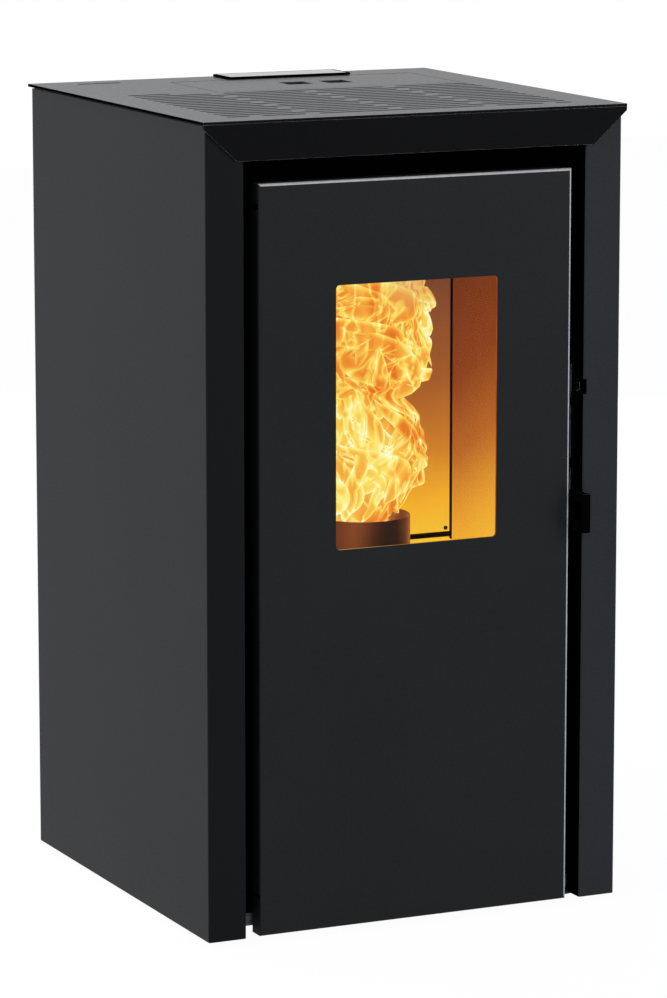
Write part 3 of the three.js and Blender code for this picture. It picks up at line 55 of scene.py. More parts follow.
def shade(red, green, blue):
    # a colour as a screen shows it, 0 to 255, turned into the linear values that shaders use
    return tuple(((v / 255 + 0.055) / 1.055) ** 2.4 if v > 10 else v / 255 / 12.92
                 for v in (red, green, blue)) + (1.0,)


# Where the photograph was taken from.
cameraSetup = {"place": (-2.11623, -4.54808, 1.32718), "yaw": 0.4384, "down": 0.1784, "lens": 167.6,
               "sensor": 36.0, "farEnd": 60.0}


def setCamera(setup):
    data = bpy.data.cameras.new("photoCamera")
    data.lens = setup["lens"]
    data.sensor_width = setup["sensor"]
    data.clip_end = setup["farEnd"]
    camera = bpy.data.objects.new("photoCamera", data)
    bpy.context.collection.objects.link(camera)
    forward = Vector((math.sin(setup["yaw"]) * math.cos(setup["down"]),
                      math.cos(setup["yaw"]) * math.cos(setup["down"]), -math.sin(setup["down"])))
    camera.location = setup["place"]
    camera.rotation_mode = "QUATERNION"
    camera.rotation_quaternion = forward.to_track_quat("-Z", "Y")
    bpy.context.scene.camera = camera


def addNode(tree, kind, inputs=None, **settings):
    node = tree.nodes.new("ShaderNode" + kind)
    for key, value in settings.items():
        setattr(node, key, value)
    for key, value in (inputs or {}).items():
        if isinstance(value, bpy.types.NodeSocket):
            tree.links.new(value, node.inputs[key])
        else:
            node.inputs[key].default_value = value
    return node


def maths(tree, operation, *values):
    return addNode(tree, "Math", dict(enumerate(values)), operation=operation).outputs[0]


def seenDirectly(tree):
    # 1 for rays that come from the camera, from a gloss or through glass
    path = addNode(tree, "LightPath").outputs
    either = maths(tree, "MAXIMUM", path["Is Camera Ray"], path["Is Glossy Ray"])
    return maths(tree, "MAXIMUM", either, path["Is Transmission Ray"])


roomLooks = {"air": (0.93, 0.97, 1.0, 1), "ambient": 0.52, "backdrop": (1, 1, 1, 1), "floorSize": 14.0,
             "floorTone": (0.92, 0.92, 0.92, 1), "floorGlow": 0.97}


def setRoom(looks):
    world = bpy.data.worlds.new("studio")
    bpy.context.scene.world = world
    world.use_nodes = True
    tree = world.node_tree
    tree.nodes.clear()
    soft = addNode(tree, "Background", {"Color": looks["air"], "Strength": looks["ambient"]})
    white = addNode(tree, "Background", {"Color": looks["backdrop"], "Strength": 1.0})
    mixed = addNode(tree, "MixShader", {0: seenDirectly(tree), 1: soft.outputs[0], 2: white.outputs[0]})
    addNode(tree, "OutputWorld", {"Surface": mixed.outputs[0]})

    half = looks["floorSize"] / 2
    corners = [(-half, -half, 0), (half, -half, 0), (half, half, 0), (-half, half, 0)]
    mesh = bpy.data.meshes.new("studioFloor")
    mesh.from_pydata(corners, [], [(0, 1, 2, 3)])
    floor = bpy.data.objects.new("studioFloor", mesh)
    bpy.context.collection.objects.link(floor)
    paper = bpy.data.materials.new("floorPaper")
    paper.use_nodes = True
    tree = paper.node_tree
    tree.nodes.clear()
    matt = addNode(tree, "BsdfDiffuse", {"Color": looks["floorTone"]})
    glow = addNode(tree, "Emission", {"Color": looks["backdrop"], "Strength": 1.0})
    share = maths(tree, "MULTIPLY", seenDirectly(tree), looks["floorGlow"])
    mixed = addNode(tree, "MixShader", {0: share, 1: matt.outputs[0], 2: glow.outputs[0]})
    addNode(tree, "OutputMaterial", {"Surface": mixed.outputs[0]})
    mesh.materials.append(paper)


lamps = {
    "keyLamp": {"place": (-3.3, -0.5, 2.4), "aim": (0, 0, 0.5), "size": 1.6, "power": 100,
                "tint": (1, 0.99, 0.97)},
    "frontLamp": {"place": (2.1, -2.9, 1.9), "aim": (0, 0, 0.45), "size": 1.8, "power": 46,
                  "tint": (0.97, 0.98, 1)},
    "backLamp": {"place": (2.0, 2.8, 0.42), "aim": (0, 0, 0.42), "size": 0.8, "power": 34,
                 "tint": (0.97, 0.98, 1)},
    "rearLamp": {"place": (-1.0, 2.4, 3.4), "aim": (0, 0, 0.5), "size": 2.0, "power": 66,
                 "tint": (0.95, 0.97, 1)},
}


def setLamps(table):
    for name, lamp in table.items():
        data = bpy.data.lights.new(name, "AREA")
        data.energy = lamp["power"]
        data.size = lamp["size"]
        data.color = lamp["tint"]
        made = bpy.data.objects.new(name, data)
        bpy.context.collection.objects.link(made)
        made.location = lamp["place"]
        toAim = Vector(lamp["aim"]) - Vector(lamp["place"])
        made.rotation_mode = "QUATERNION"
        made.rotation_quaternion = toAim.to_track_quat("-Z", "Y")


setCamera(cameraSetup)
setRoom(roomLooks)
setLamps(lamps)
bpy.context.scene.view_settings.view_transform = "Standard"
print("camera, room and lamps are set")


# Finishes, each a procedural material.
noiseSpan = (0.3, 0.7)  # nearly all of a noise texture's values lie between these


def newFinish(name, **sockets):
    material = bpy.data.materials.new(name)
    material.use_nodes = True
    tree = material.node_tree
    shader = tree.nodes["Principled BSDF"]
    for key, value in sockets.items():
        shader.inputs[key.replace("_", " ")].default_value = value
    return material, tree, shader


def placeOn(tree, stretch=(1, 1, 1)):
    where = addNode(tree, "TexCoord")
    return addNode(tree, "Mapping", {"Vector": where.outputs["Object"], "Scale": stretch}).outputs[0]


def noise(tree, scale, detail=3.0, stretch=(1, 1, 1), distortion=0.0):
    return addNode(tree, "TexNoise", {"Vector": placeOn(tree, stretch), "Scale": scale, "Detail": detail,
                                      "Distortion": distortion}).outputs["Fac"]


def ramp(tree, value, stops):
    made = addNode(tree, "ValToRGB", {"Fac": value})
    band = made.color_ramp
    while len(band.elements) < len(stops):
        band.elements.new(0.5)
    for element, (at, colour) in zip(band.elements, stops):
        element.position = at
        element.color = colour
    return made.outputs["Color"]


def twoTone(tree, value, look):
    return ramp(tree, value, [(noiseSpan[0], look["dark"]), (noiseSpan[1], look["light"])])


def spread(tree, value, low, high):
    return addNode(tree, "MapRange", {"Value": value, "From Min": noiseSpan[0], "From Max": noiseSpan[1],
                                      "To Min": low, "To Max": high}).outputs["Result"]


def along(tree, axis, low, high, toLow=0.0, toHigh=1.0):
    # where a point stands between two places on one axis of the stove
    where = addNode(tree, "TexCoord")
    parts = addNode(tree, "SeparateXYZ", {0: where.outputs["Object"]})
    return addNode(tree, "MapRange", {"Value": parts.outputs[axis], "From Min": low, "From Max": high,
                                      "To Min": toLow, "To Max": toHigh}).outputs["Result"]


def unsteady(tree, value, scale, reach):
    # moves a value a little up and down from place to place
    drift = maths(tree, "MULTIPLY_ADD", noise(tree, scale), reach, -reach / 2)
    return maths(tree, "ADD", value, drift)


def roughen(tree, shader, height, strength, depth):
    bump = addNode(tree, "Bump", {"Height": height, "Strength": strength, "Distance": depth})
    tree.links.new(bump.outputs["Normal"], shader.inputs["Normal"])


def link(tree, output, shader, socket):
    tree.links.new(output, shader.inputs[socket])


# powder coat: fine orange peel over a slow drift of tone
paintGrain = {"fine": 520.0, "fineShare": 0.7, "drift": 5.0, "driftShare": 0.3, "sheen": 480.0,
              "peel": 650.0, "peelDepth": 0.0004, "tint": (0.90, 0.94, 1.0, 1)}
paintLooks = {
    "casingPaint": {"dark": shade(18, 19, 21), "light": shade(24, 25, 28), "rough": (0.42, 0.48),
                    "gloss": 0.085, "peel": 0.14},
    "doorPaint": {"dark": shade(16, 17, 18), "light": shade(25, 26, 28), "rough": (0.42, 0.50),
                  "gloss": 0.12, "peel": 0.30},
    "topPaint": {"dark": shade(26, 27, 31), "light": shade(36, 38, 43), "rough": (0.36, 0.42),
                 "gloss": 0.29, "peel": 0.12},
    # the chin of the top cover is the same sheet, painted darker as painted shade where it faces down
    "chinPaintedShade": {"dark": shade(6, 6, 7), "light": shade(12, 12, 13), "rough": (0.46, 0.56),
                  "gloss": 0.04, "peel": 0.14},
    # near black: the inner black parts and the latch parts, and painted shade on casing faces that sit in the
    # door gap and under the top cover's side
    "innerBlackAndGapShade": {"dark": shade(1, 1, 1), "light": shade(4, 4, 4), "rough": (0.75, 0.9),
                 "gloss": 0.0, "peel": 0.1},
    # the left flange front gets a darker copy of the casing paint as painted shade, the right flange front a
    # lighter copy as painted light
    "leftFlangePaintedShade": {"dark": shade(9, 10, 11), "light": shade(15, 16, 18), "rough": (0.42, 0.48),
                   "gloss": 0.07, "peel": 0.14},
    "rightFlangePaintedLight": {"dark": shade(32, 33, 36), "light": shade(40, 41, 44), "rough": (0.42, 0.48),
                    "gloss": 0.09, "peel": 0.14},
    "framePaint": {"dark": shade(2, 2, 2), "light": shade(6, 6, 6), "rough": (0.7, 0.8),
                   "gloss": 0.0, "peel": 0.05},
    "sootSteel": {"dark": shade(14, 8, 5), "light": shade(34, 20, 12), "rough": (0.8, 0.95),
                  "gloss": 0.02, "peel": 0.3},
}


def paintFinish(name, look):
    material, tree, shader = newFinish(name, Specular_IOR_Level=look["gloss"],
                                       Specular_Tint=paintGrain["tint"])
    fine = maths(tree, "MULTIPLY", noise(tree, paintGrain["fine"], 2.0), paintGrain["fineShare"])
    tone = maths(tree, "MULTIPLY_ADD", noise(tree, paintGrain["drift"], 2.0), paintGrain["driftShare"], fine)
    link(tree, twoTone(tree, tone, look), shader, "Base Color")
    link(tree, spread(tree, noise(tree, paintGrain["sheen"], 1.0), *look["rough"]), shader, "Roughness")
    roughen(tree, shader, noise(tree, paintGrain["peel"], 1.0), look["peel"], paintGrain["peelDepth"])
    return material


# galvanised sheet with its frosty spangle
zincLook = {"spangle": 110.0, "stops": [(0.1, shade(150, 153, 156)), (0.55, shade(116, 120, 124))],
            "cloud": 60.0, "rough": (0.32, 0.5), "grain": 240.0, "bump": 0.08, "depth": 0.0003}


def zincFinish(look):
    material, tree, shader = newFinish("zincSheet", Metallic=0.9)
    cells = addNode(tree, "TexVoronoi", {"Vector": placeOn(tree), "Scale": look["spangle"]})
    link(tree, ramp(tree, cells.outputs["Distance"], look["stops"]), shader, "Base Color")
    link(tree, spread(tree, noise(tree, look["cloud"]), *look["rough"]), shader, "Roughness")
    roughen(tree, shader, noise(tree, look["grain"]), look["bump"], look["depth"])
    return material


# turned and drawn steel, brushed along its length
steelLook = {"lines": 120.0, "stretch": (1, 1, 9), "dark": shade(150, 151, 153),
             "light": shade(196, 197, 199), "rough": (0.22, 0.4), "bump": 0.05, "depth": 0.0002}


def steelFinish(look):
    material, tree, shader = newFinish("drawnSteel", Metallic=1.0)
    lines = noise(tree, look["lines"], 4.0, look["stretch"])
    link(tree, twoTone(tree, lines, look), shader, "Base Color")
    link(tree, spread(tree, lines, *look["rough"]), shader, "Roughness")
    roughen(tree, shader, lines, look["bump"], look["depth"])
    return material


# sand-cast iron, browned by the fire
ironLook = {"grain": 320.0, "stain": 26.0, "dark": shade(52, 40, 34), "light": shade(96, 68, 50),
            "rough": (0.5, 0.75), "bump": 0.35, "depth": 0.0006}


def ironFinish(look):
    material, tree, shader = newFinish("castIron", Metallic=0.55)
    grain = noise(tree, look["grain"], 4.0)
    link(tree, twoTone(tree, noise(tree, look["stain"], 5.0), look), shader, "Base Color")
    link(tree, spread(tree, grain, *look["rough"]), shader, "Roughness")
    roughen(tree, shader, grain, look["bump"], look["depth"])
    return material


# plain two-toned speckles; "shader" holds what differs from the shader's own values
speckleLooks = {
    "igniterCeramic": {"dark": shade(190, 184, 172), "light": shade(222, 217, 206), "grain": 180.0,
                       "rough": (0.5, 0.7), "bump": 0.1},
    "glassFibreRope": {"dark": shade(64, 62, 58), "light": shade(118, 114, 106), "grain": 700.0,
                       "rough": (0.9, 1.0), "bump": 0.6},
    "touchGlass": {"dark": shade(5, 5, 7), "light": shade(10, 10, 12), "grain": 6.0,
                   "rough": (0.03, 0.07), "bump": 0.0, "shader": {"Specular_IOR_Level": 0.3}},
    "blackPlastic": {"dark": shade(10, 10, 11), "light": shade(20, 20, 22), "grain": 420.0,
                     "rough": (0.38, 0.5), "bump": 0.12},
    "footRubber": {"dark": shade(16, 16, 16), "light": shade(30, 30, 31), "grain": 260.0,
                   "rough": (0.8, 0.95), "bump": 0.25},
    "woodPellets": {"dark": shade(132, 98, 62), "light": shade(196, 158, 108), "grain": 160.0,
                    "rough": (0.7, 0.9), "bump": 0.3},
    "screwSteel": {"dark": shade(70, 70, 72), "light": shade(118, 119, 122), "grain": 300.0,
                   "rough": (0.3, 0.45), "bump": 0.1, "shader": {"Metallic": 0.8}},
    "sootScrew": {"dark": shade(12, 8, 6), "light": shade(30, 20, 14), "grain": 300.0,
                  "rough": (0.6, 0.8), "bump": 0.2},
}
speckleDepth = 0.0004


def speckleFinish(name, look):
    material, tree, shader = newFinish(name, **look.get("shader", {}))
    grain = noise(tree, look["grain"], 4.0)
    link(tree, twoTone(tree, grain, look), shader, "Base Color")
    link(tree, spread(tree, grain, *look["rough"]), shader, "Roughness")
    roughen(tree, shader, grain, look["bump"], speckleDepth)
    return material


# ceramic fire glass: clear, with a breath of haze
glassLook = {"haze": 9.0, "stops": [(0.3, (0.97, 0.96, 0.93, 1)), (0.8, (1, 0.99, 0.97, 1))],
             "rough": (0.0, 0.02), "bend": 1.1}


def glassFinish(look):
    material, tree, shader = newFinish("fireGlass", Transmission_Weight=1.0, IOR=look["bend"])
    haze = noise(tree, look["haze"])
    link(tree, ramp(tree, haze, look["stops"]), shader, "Base Color")
    link(tree, spread(tree, haze, *look["rough"]), shader, "Roughness")
    return material


# soot under everything that stands in the firelight
sootLook = {"scale": 38.0, "dark": shade(22, 13, 8), "light": shade(40, 25, 15), "rough": (0.6, 0.85),
            "depth": 0.0004, "gloss": 0.15}


def sootBase(tree, shader, bump):
    soot = noise(tree, sootLook["scale"], 5.0)
    link(tree, twoTone(tree, soot, sootLook), shader, "Base Color")
    link(tree, spread(tree, soot, *sootLook["rough"]), shader, "Roughness")
    roughen(tree, shader, soot, bump, sootLook["depth"])


# painted firelight on the firebox walls: their emission, which stands in for the fire's light, falls with the
# height above the floor of the firebox, and "lean" moves it up or down from one side or end of the wall to
# the other
glowLooks = {
    "firelitBackPainted": {
        "span": (0.372, 0.745), "power": 0.92, "lean": ("X", -0.13, 0.136, 0.0, -0.02),
        "stops": [(0.0, shade(255, 200, 56)), (0.10, shade(252, 182, 46)), (0.26, shade(218, 134, 42)),
                  (0.48, shade(168, 94, 42)), (0.74, shade(126, 72, 46)), (1.0, shade(98, 54, 50))]},
    "firelitSidePainted": {
        "span": (0.372, 0.745), "power": 0.92, "lean": ("Y", -0.06, -0.16, 0.10, -0.06),
        "stops": [(0.0, shade(255, 196, 58)), (0.16, shade(242, 166, 50)), (0.36, shade(190, 106, 40)),
                  (0.60, shade(142, 66, 26)), (1.0, shade(104, 46, 22))]},
}
glowDrift = {"scale": 11.0, "reach": 0.10, "bump": 0.04}


def glowFinish(name, look):
    material, tree, shader = newFinish(name, Emission_Strength=look["power"],
                                       Specular_IOR_Level=sootLook["gloss"])
    climb = maths(tree, "ADD", along(tree, "Z", *look["span"]), along(tree, *look["lean"]))
    moved = unsteady(tree, climb, glowDrift["scale"], glowDrift["reach"])
    link(tree, ramp(tree, moved, look["stops"]), shader, "Emission Color")
    sootBase(tree, shader, glowDrift["bump"])
    return material


# painted reflection of the fire beside it: upright bands of emission on the pot, dimmer towards its foot as
# painted shade
potLook = {
    "reach": (-0.0525, 0.0525), "fall": (0.346, 0.404, 0.25, 0.7), "drift": (30.0, 0.12), "bump": 0.1,
    "stops": [(0.0, shade(96, 46, 22)), (0.21, shade(150, 80, 42)), (0.41, shade(84, 42, 20)),
              (0.50, shade(52, 26, 13)), (0.68, shade(40, 20, 10)), (0.80, shade(108, 58, 30)),
              (0.92, shade(196, 114, 66)), (1.0, shade(92, 46, 24))]}


def potFinish(look):
    material, tree, shader = newFinish("firelitPotPainted", Specular_IOR_Level=sootLook["gloss"])
    band = unsteady(tree, along(tree, "X", *look["reach"]), *look["drift"])
    link(tree, ramp(tree, band, look["stops"]), shader, "Emission Color")
    link(tree, along(tree, "Z", *look["fall"]), shader, "Emission Strength")
    sootBase(tree, shader, look["bump"])
    return material


# painted highlights on eased edges: a lighter base colour where one of its spans says: axis, dark at, light
# at
edgeHighlightLooks = {
    "doorEdgeHighlight": {"spans": [("X", 0.172, 0.178), ("Z", 0.796, 0.800)], "light": shade(168, 170, 174)},
    "topEdgeHighlight": {"spans": [("Y", -0.232, -0.238)], "light": shade(200, 202, 206)},
    "flangeEdgeHighlight": {"spans": [("X", -0.206, -0.200)], "light": shade(120, 122, 126)},
    "handleEdgeHighlight": {"spans": [("X", 0.1912, 0.1918)], "light": shade(150, 152, 156)},
    "rodHighlight": {"spans": [("Z", 0.40, 0.41)], "light": shade(150, 152, 156)},
}
paintedHighlightBase = {"gloss": 0.3, "dark": shade(18, 19, 20), "scale": 120.0, "share": (0.85, 1.0),
            "grain": 480.0, "rough": (0.3, 0.4)}


def edgeFinish(name, look):
    material, tree, shader = newFinish(name, Specular_IOR_Level=paintedHighlightBase["gloss"])
    share = along(tree, *look["spans"][0])
    for span in look["spans"][1:]:
        share = maths(tree, "MAXIMUM", share, along(tree, *span))
    # painted highlight: lighter towards each span's light end, patchy by noise
    highlightShare = maths(tree, "MULTIPLY", share, spread(tree, noise(tree, paintedHighlightBase["scale"]), *paintedHighlightBase["share"]))
    link(tree, ramp(tree, highlightShare, [(0.0, paintedHighlightBase["dark"]), (1.0, look["light"])]), shader, "Base Color")
    link(tree, spread(tree, noise(tree, paintedHighlightBase["grain"], 1.0), *paintedHighlightBase["rough"]), shader, "Roughness")
    return material


# cut edge of the window: emission stands in for the light of the fire behind it, painted firelight
warmLook = {
    "gloss": 0.1, "width": (-0.0935, 0.0935), "flicker": 24.0, "height": (0.41, 0.69, 0.55, 0.9),
    "stops": [(0.0, shade(255, 214, 140)), (0.3, shade(206, 104, 44)), (0.6, shade(150, 62, 24))],
    "dark": shade(16, 14, 12), "light": shade(26, 22, 18), "grain": 90.0}


def warmEdgeFinish(look):
    material, tree, shader = newFinish("windowEdgePaintedFirelight", Specular_IOR_Level=look["gloss"])
    tone = maths(tree, "MULTIPLY", along(tree, "X", *look["width"]), noise(tree, look["flicker"]))
    link(tree, ramp(tree, tone, look["stops"]), shader, "Emission Color")
    link(tree, along(tree, "Z", *look["height"]), shader, "Emission Strength")
    link(tree, twoTone(tree, noise(tree, look["grain"]), look), shader, "Base Color")
    return material


# burning pellets: white-hot at the top of the heap, dark red below
emberLook = {
    "scale": 90.0, "height": (0.380, 0.420, -0.2, 0.25),
    "stops": [(0.30, shade(70, 16, 6)), (0.48, shade(226, 84, 20)), (0.70, shade(255, 206, 92))],
    "dark": shade(20, 14, 10), "light": shade(46, 36, 30), "grain": 60.0}


def emberFinish(look):
    material, tree, shader = newFinish("embers", Emission_Strength=1.0, Specular_IOR_Level=0.0)
    heat = maths(tree, "ADD", noise(tree, look["scale"]), along(tree, "Z", *look["height"]))
    link(tree, ramp(tree, heat, look["stops"]), shader, "Emission Color")
    link(tree, twoTone(tree, noise(tree, look["grain"]), look), shader, "Base Color")
    return material


# flame colours from hollow to crest; the plume at the upper right is dull and pinkish
flameLooks = {
    "flameCore": {"scale": 17.0, "stretch": (1, 1, 0.5), "rim": 0.0, "base": 0.05, "stops": [
        (0.26, shade(212, 86, 26)), (0.42, shade(236, 126, 42)), (0.56, shade(247, 170, 66)),
        (0.72, shade(252, 212, 92)), (0.90, shade(255, 240, 150))]},
    "flameRibbon": {"scale": 19.0, "stretch": (1, 1, 0.45), "rim": 0.30, "base": -0.03, "stops": [
        (0.24, shade(222, 98, 30)), (0.38, shade(240, 136, 44)), (0.52, shade(248, 178, 68)),
        (0.66, shade(252, 216, 92)), (0.82, shade(254, 242, 140)), (0.98, shade(255, 254, 214))]},
}
plumeLook = {"rise": (0.640, 0.700), "right": (-0.005, 0.035), "colour": shade(206, 146, 116),
             "share": 0.72}
veinLook = {"foldTwist": 1.1, "scale": 1.2, "twist": 1.8, "width": 0.06, "lift": 0.24}


def flameFinish(name, look):
    # folded sheets of fire: bright crests and rims between deeper orange hollows
    material, tree, shader = newFinish(name, Base_Color=(0.0, 0.0, 0.0, 1), Roughness=1.0,
                                       Specular_IOR_Level=0.0, Emission_Strength=1.0)
    folds = noise(tree, look["scale"], 3.0, look["stretch"], veinLook["foldTwist"])
    veins = noise(tree, look["scale"] * veinLook["scale"], 2.0, look["stretch"], veinLook["twist"])
    crest = maths(tree, "ABSOLUTE", maths(tree, "SUBTRACT", veins, 0.5))
    crest = addNode(tree, "MapRange", {"Value": crest, "From Min": 0.0, "From Max": veinLook["width"],
                                       "To Min": veinLook["lift"], "To Max": 0.0}).outputs["Result"]
    heat = maths(tree, "ADD", folds, crest)
    rim = addNode(tree, "Attribute", attribute_name="rim").outputs["Fac"]
    heat = maths(tree, "MULTIPLY_ADD", rim, look["rim"], heat)
    heat = maths(tree, "ADD", heat, look["base"])
    lively = ramp(tree, heat, look["stops"])
    plume = maths(tree, "MULTIPLY", along(tree, "Z", *plumeLook["rise"]),
                  along(tree, "X", *plumeLook["right"]))
    plume = maths(tree, "MULTIPLY", plume, plumeLook["share"])
    # sockets 6 and 7 are the two colours of the mix, and output 2 is its colour
    mixed = addNode(tree, "Mix", {"Factor": plume, 6: lively, 7: plumeLook["colour"]}, data_type="RGBA")
    link(tree, mixed.outputs[2], shader, "Emission Color")
    return material


finishes = {}
for makeFinish, looks in ((paintFinish, paintLooks), (speckleFinish, speckleLooks), (glowFinish, glowLooks),
                          (edgeFinish, edgeHighlightLooks), (flameFinish, flameLooks)):
    finishes.update({name: makeFinish(name, look) for name, look in looks.items()})
for made in (zincFinish(zincLook), steelFinish(steelLook), ironFinish(ironLook), glassFinish(glassLook),
             potFinish(potLook), warmEdgeFinish(warmLook), emberFinish(emberLook)):
    finishes[made.name] = made
slotFinish = {"casing_paint": "casingPaint", "chin_paint": "topPaint", "inner_black": "innerBlackAndGapShade",
              "zinc_steel": "zincSheet", "bright_steel": "drawnSteel", "cast_iron": "castIron",
              "firebox_lining": "firelitSidePainted", "ceramic": "igniterCeramic", "door_glass": "fireGlass",
              "rope_seal": "glassFibreRope", "display": "touchGlass", "black_plastic": "blackPlastic",
              "foot_rubber": "footRubber"}
nodeFinish = {"door_panel": "doorPaint", "firebox_back_panel": "firelitBackPainted", "burn_pot": "firelitPotPainted",
              "pot_support": "firelitPotPainted", "hopper_lid": "topPaint", "control_panel_bezel": "framePaint",
              "door_handle": "framePaint", "latch_bracket": "innerBlackAndGapShade", "flue_spigot": "zincSheet",
              "latch_keeper": "innerBlackAndGapShade", "firebox_shell": "sootSteel", "baffle_plate": "sootSteel"}
for node, part in frame["nodes"].items():
    part.data.materials.clear()
    part.data.materials.append(finishes[nodeFinish.get(node, slotFinish[slotOf[node]])])
print("finishes are on", len(frame["nodes"]), "nodes")


# Width of the eased edge on each folded or machined piece.
easedEdges = {
    "door_panel": 0.0011, "side_panel_left": 0.0006, "side_panel_right": 0.0006, "top_cover": 0.0009,
    "hopper_lid": 0.0006, "door_handle": 0.0009, "latch_bracket": 0.0004, "control_panel_bezel": 0.0006,
    "control_panel_display": 0.0004, "rear_panel": 0.0005, "inner_front_frame": 0.0004,
    "door_inner_frame": 0.0005, "burn_pot": 0.0006, "pot_support": 0.0008, "baffle_plate": 0.0008,
    "ash_drawer": 0.0006, "flue_spigot": 0.0004, "power_inlet": 0.0006, "switch_frame": 0.0005,
    "power_rocker": 0.0006, "thermostat_cap": 0.0006, "firebox_back_panel": 0.0005,
    "hopper_grate": 0.0006, "base_tray": 0.0005, "pellet_hopper": 0.0005, "firebox_shell": 0.0005,
    "levelling_foot_front_left": 0.0006, "levelling_foot_front_right": 0.0006,
    "levelling_foot_rear_left": 0.0006, "levelling_foot_rear_right": 0.0006, "pellet_chute": 0.0004,
    "air_inlet_pipe": 0.0004,
}
easing = {"sharp": math.radians(32), "flat": math.radians(0.4), "weld": 0.00002, "segments": 2, "weight": 90}
# the bevel faces of these pieces get the painted highlight finish
edgeOf = {"door_panel": "doorEdgeHighlight", "top_cover": "topEdgeHighlight", "side_panel_left": "flangeEdgeHighlight",
          "door_handle": "handleEdgeHighlight"}


def addPiece(name, mesh, body, slotName, *standsFor):
    made = bpy.data.objects.new(name, mesh)
    bpy.context.collection.objects.link(made)
    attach(made, body)
    if standsFor:
        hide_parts(*standsFor)
    return made


def easeEdges(node, width):
    mesh = frame["nodes"][node].data.copy()
    work = bmesh.new()
    work.from_mesh(mesh)
    bmesh.ops.remove_doubles(work, verts=work.verts, dist=easing["weld"])
    bmesh.ops.dissolve_limit(work, angle_limit=easing["flat"], verts=work.verts, edges=work.edges)
    for face in work.faces:
        face.smooth = True
    work.to_mesh(mesh)
    work.free()
    made = addPiece(node + "_eased", mesh, nodeBody[node], slotOf[node], node)
    bevel = made.modifiers.new("easedEdges", "BEVEL")
    bevel.width = width
    bevel.segments = easing["segments"]
    bevel.limit_method = "ANGLE"
    bevel.angle_limit = easing["sharp"]
    # bevel faces take the painted highlight
    if node in edgeOf:
        mesh.materials.append(finishes[edgeOf[node]])
        bevel.material = 1
    weigh = made.modifiers.new("flatFaces", "WEIGHTED_NORMAL")
    weigh.mode = "FACE_AREA_WITH_ANGLE"
    weigh.weight = easing["weight"]
    return made


def repaint(made, finish, chosen):
    # gives the faces that chosen picks, by centre and normal, another finish
    made.data.materials.append(finishes[finish])
    for face in made.data.polygons:
        if chosen(face.center, face.normal):
            face.material_index = len(made.data.materials) - 1


# Where another finish takes over: depths below a piece's outer face, places on the stove, and
# how far a face's normal has to point to one side.
repaintAt = {
    "chinDepth": 0.006, "returnDepth": 0.0026, "rodDepth": 0.0025,
    "flangeFront": -0.236, "coverLeft": -0.243, "doorRight": 0.177, "doorTop": 0.797, "gripFoot": 0.462,
    "windowX": (-0.0945, 0.0945), "windowZ": (0.4135, 0.694),
    "facing": 0.5, "doorRound": (-0.97, -0.15), "doorSide": 0.2, "rodSide": -0.6, "rodFront": 0.3,
}


def repaintPieces(eased, at):
    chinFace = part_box("top_cover")[0].y + at["chinDepth"]
    returnX = abs(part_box("side_panel_right")[0].x) + at["returnDepth"]
    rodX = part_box("door_handle")[0].x + at["rodDepth"]
    facing, flatFront, roundFront = at["facing"], *at["doorRound"]
    left, right = at["windowX"]
    low, high = at["windowZ"]
    # chin faces: painted shade
    repaint(eased["top_cover"], "chinPaintedShade", lambda spot, way: spot.y < chinFace and way.z < facing)
    for side, flange in (("side_panel_left", "leftFlangePaintedShade"), ("side_panel_right", "rightFlangePaintedLight")):
        # return faces in the door gap: painted shade
        repaint(eased[side], "innerBlackAndGapShade", lambda spot, way: abs(spot.x) < returnX and abs(way.x) > facing)
        # flange fronts: painted shade on the left, painted light on the right
        repaint(eased[side], flange, lambda spot, way: way.y < -facing and spot.y < at["flangeFront"])
    # left side of the top cover: painted shade under its edge
    repaint(eased["top_cover"], "innerBlackAndGapShade", lambda spot, way: spot.x < at["coverLeft"] and way.x < -facing)
    # painted highlight on the door's right and top edges
    repaint(eased["door_panel"], "doorEdgeHighlight", lambda spot, way: flatFront < way.y < roundFront
            and (spot.x > at["doorRight"] and way.x > at["doorSide"]
                 or spot.z > at["doorTop"] and way.z > at["doorSide"]))
    # painted highlight down the handle rod's left side
    repaint(eased["door_handle"], "rodHighlight", lambda spot, way: spot.x < rodX and way.x < at["rodSide"]
            and way.y < at["rodFront"] and spot.z > at["gripFoot"])
    # window cut edge: painted firelight
    repaint(eased["door_panel"], "windowEdgePaintedFirelight", lambda spot, way: abs(way.y) < facing
            and left < spot.x < right and low < spot.z < high)


easedPieces = {node: easeEdges(node, width) for node, width in easedEdges.items()}
repaintPieces(easedPieces, repaintAt)
print("eased", len(easedPieces), "pieces")


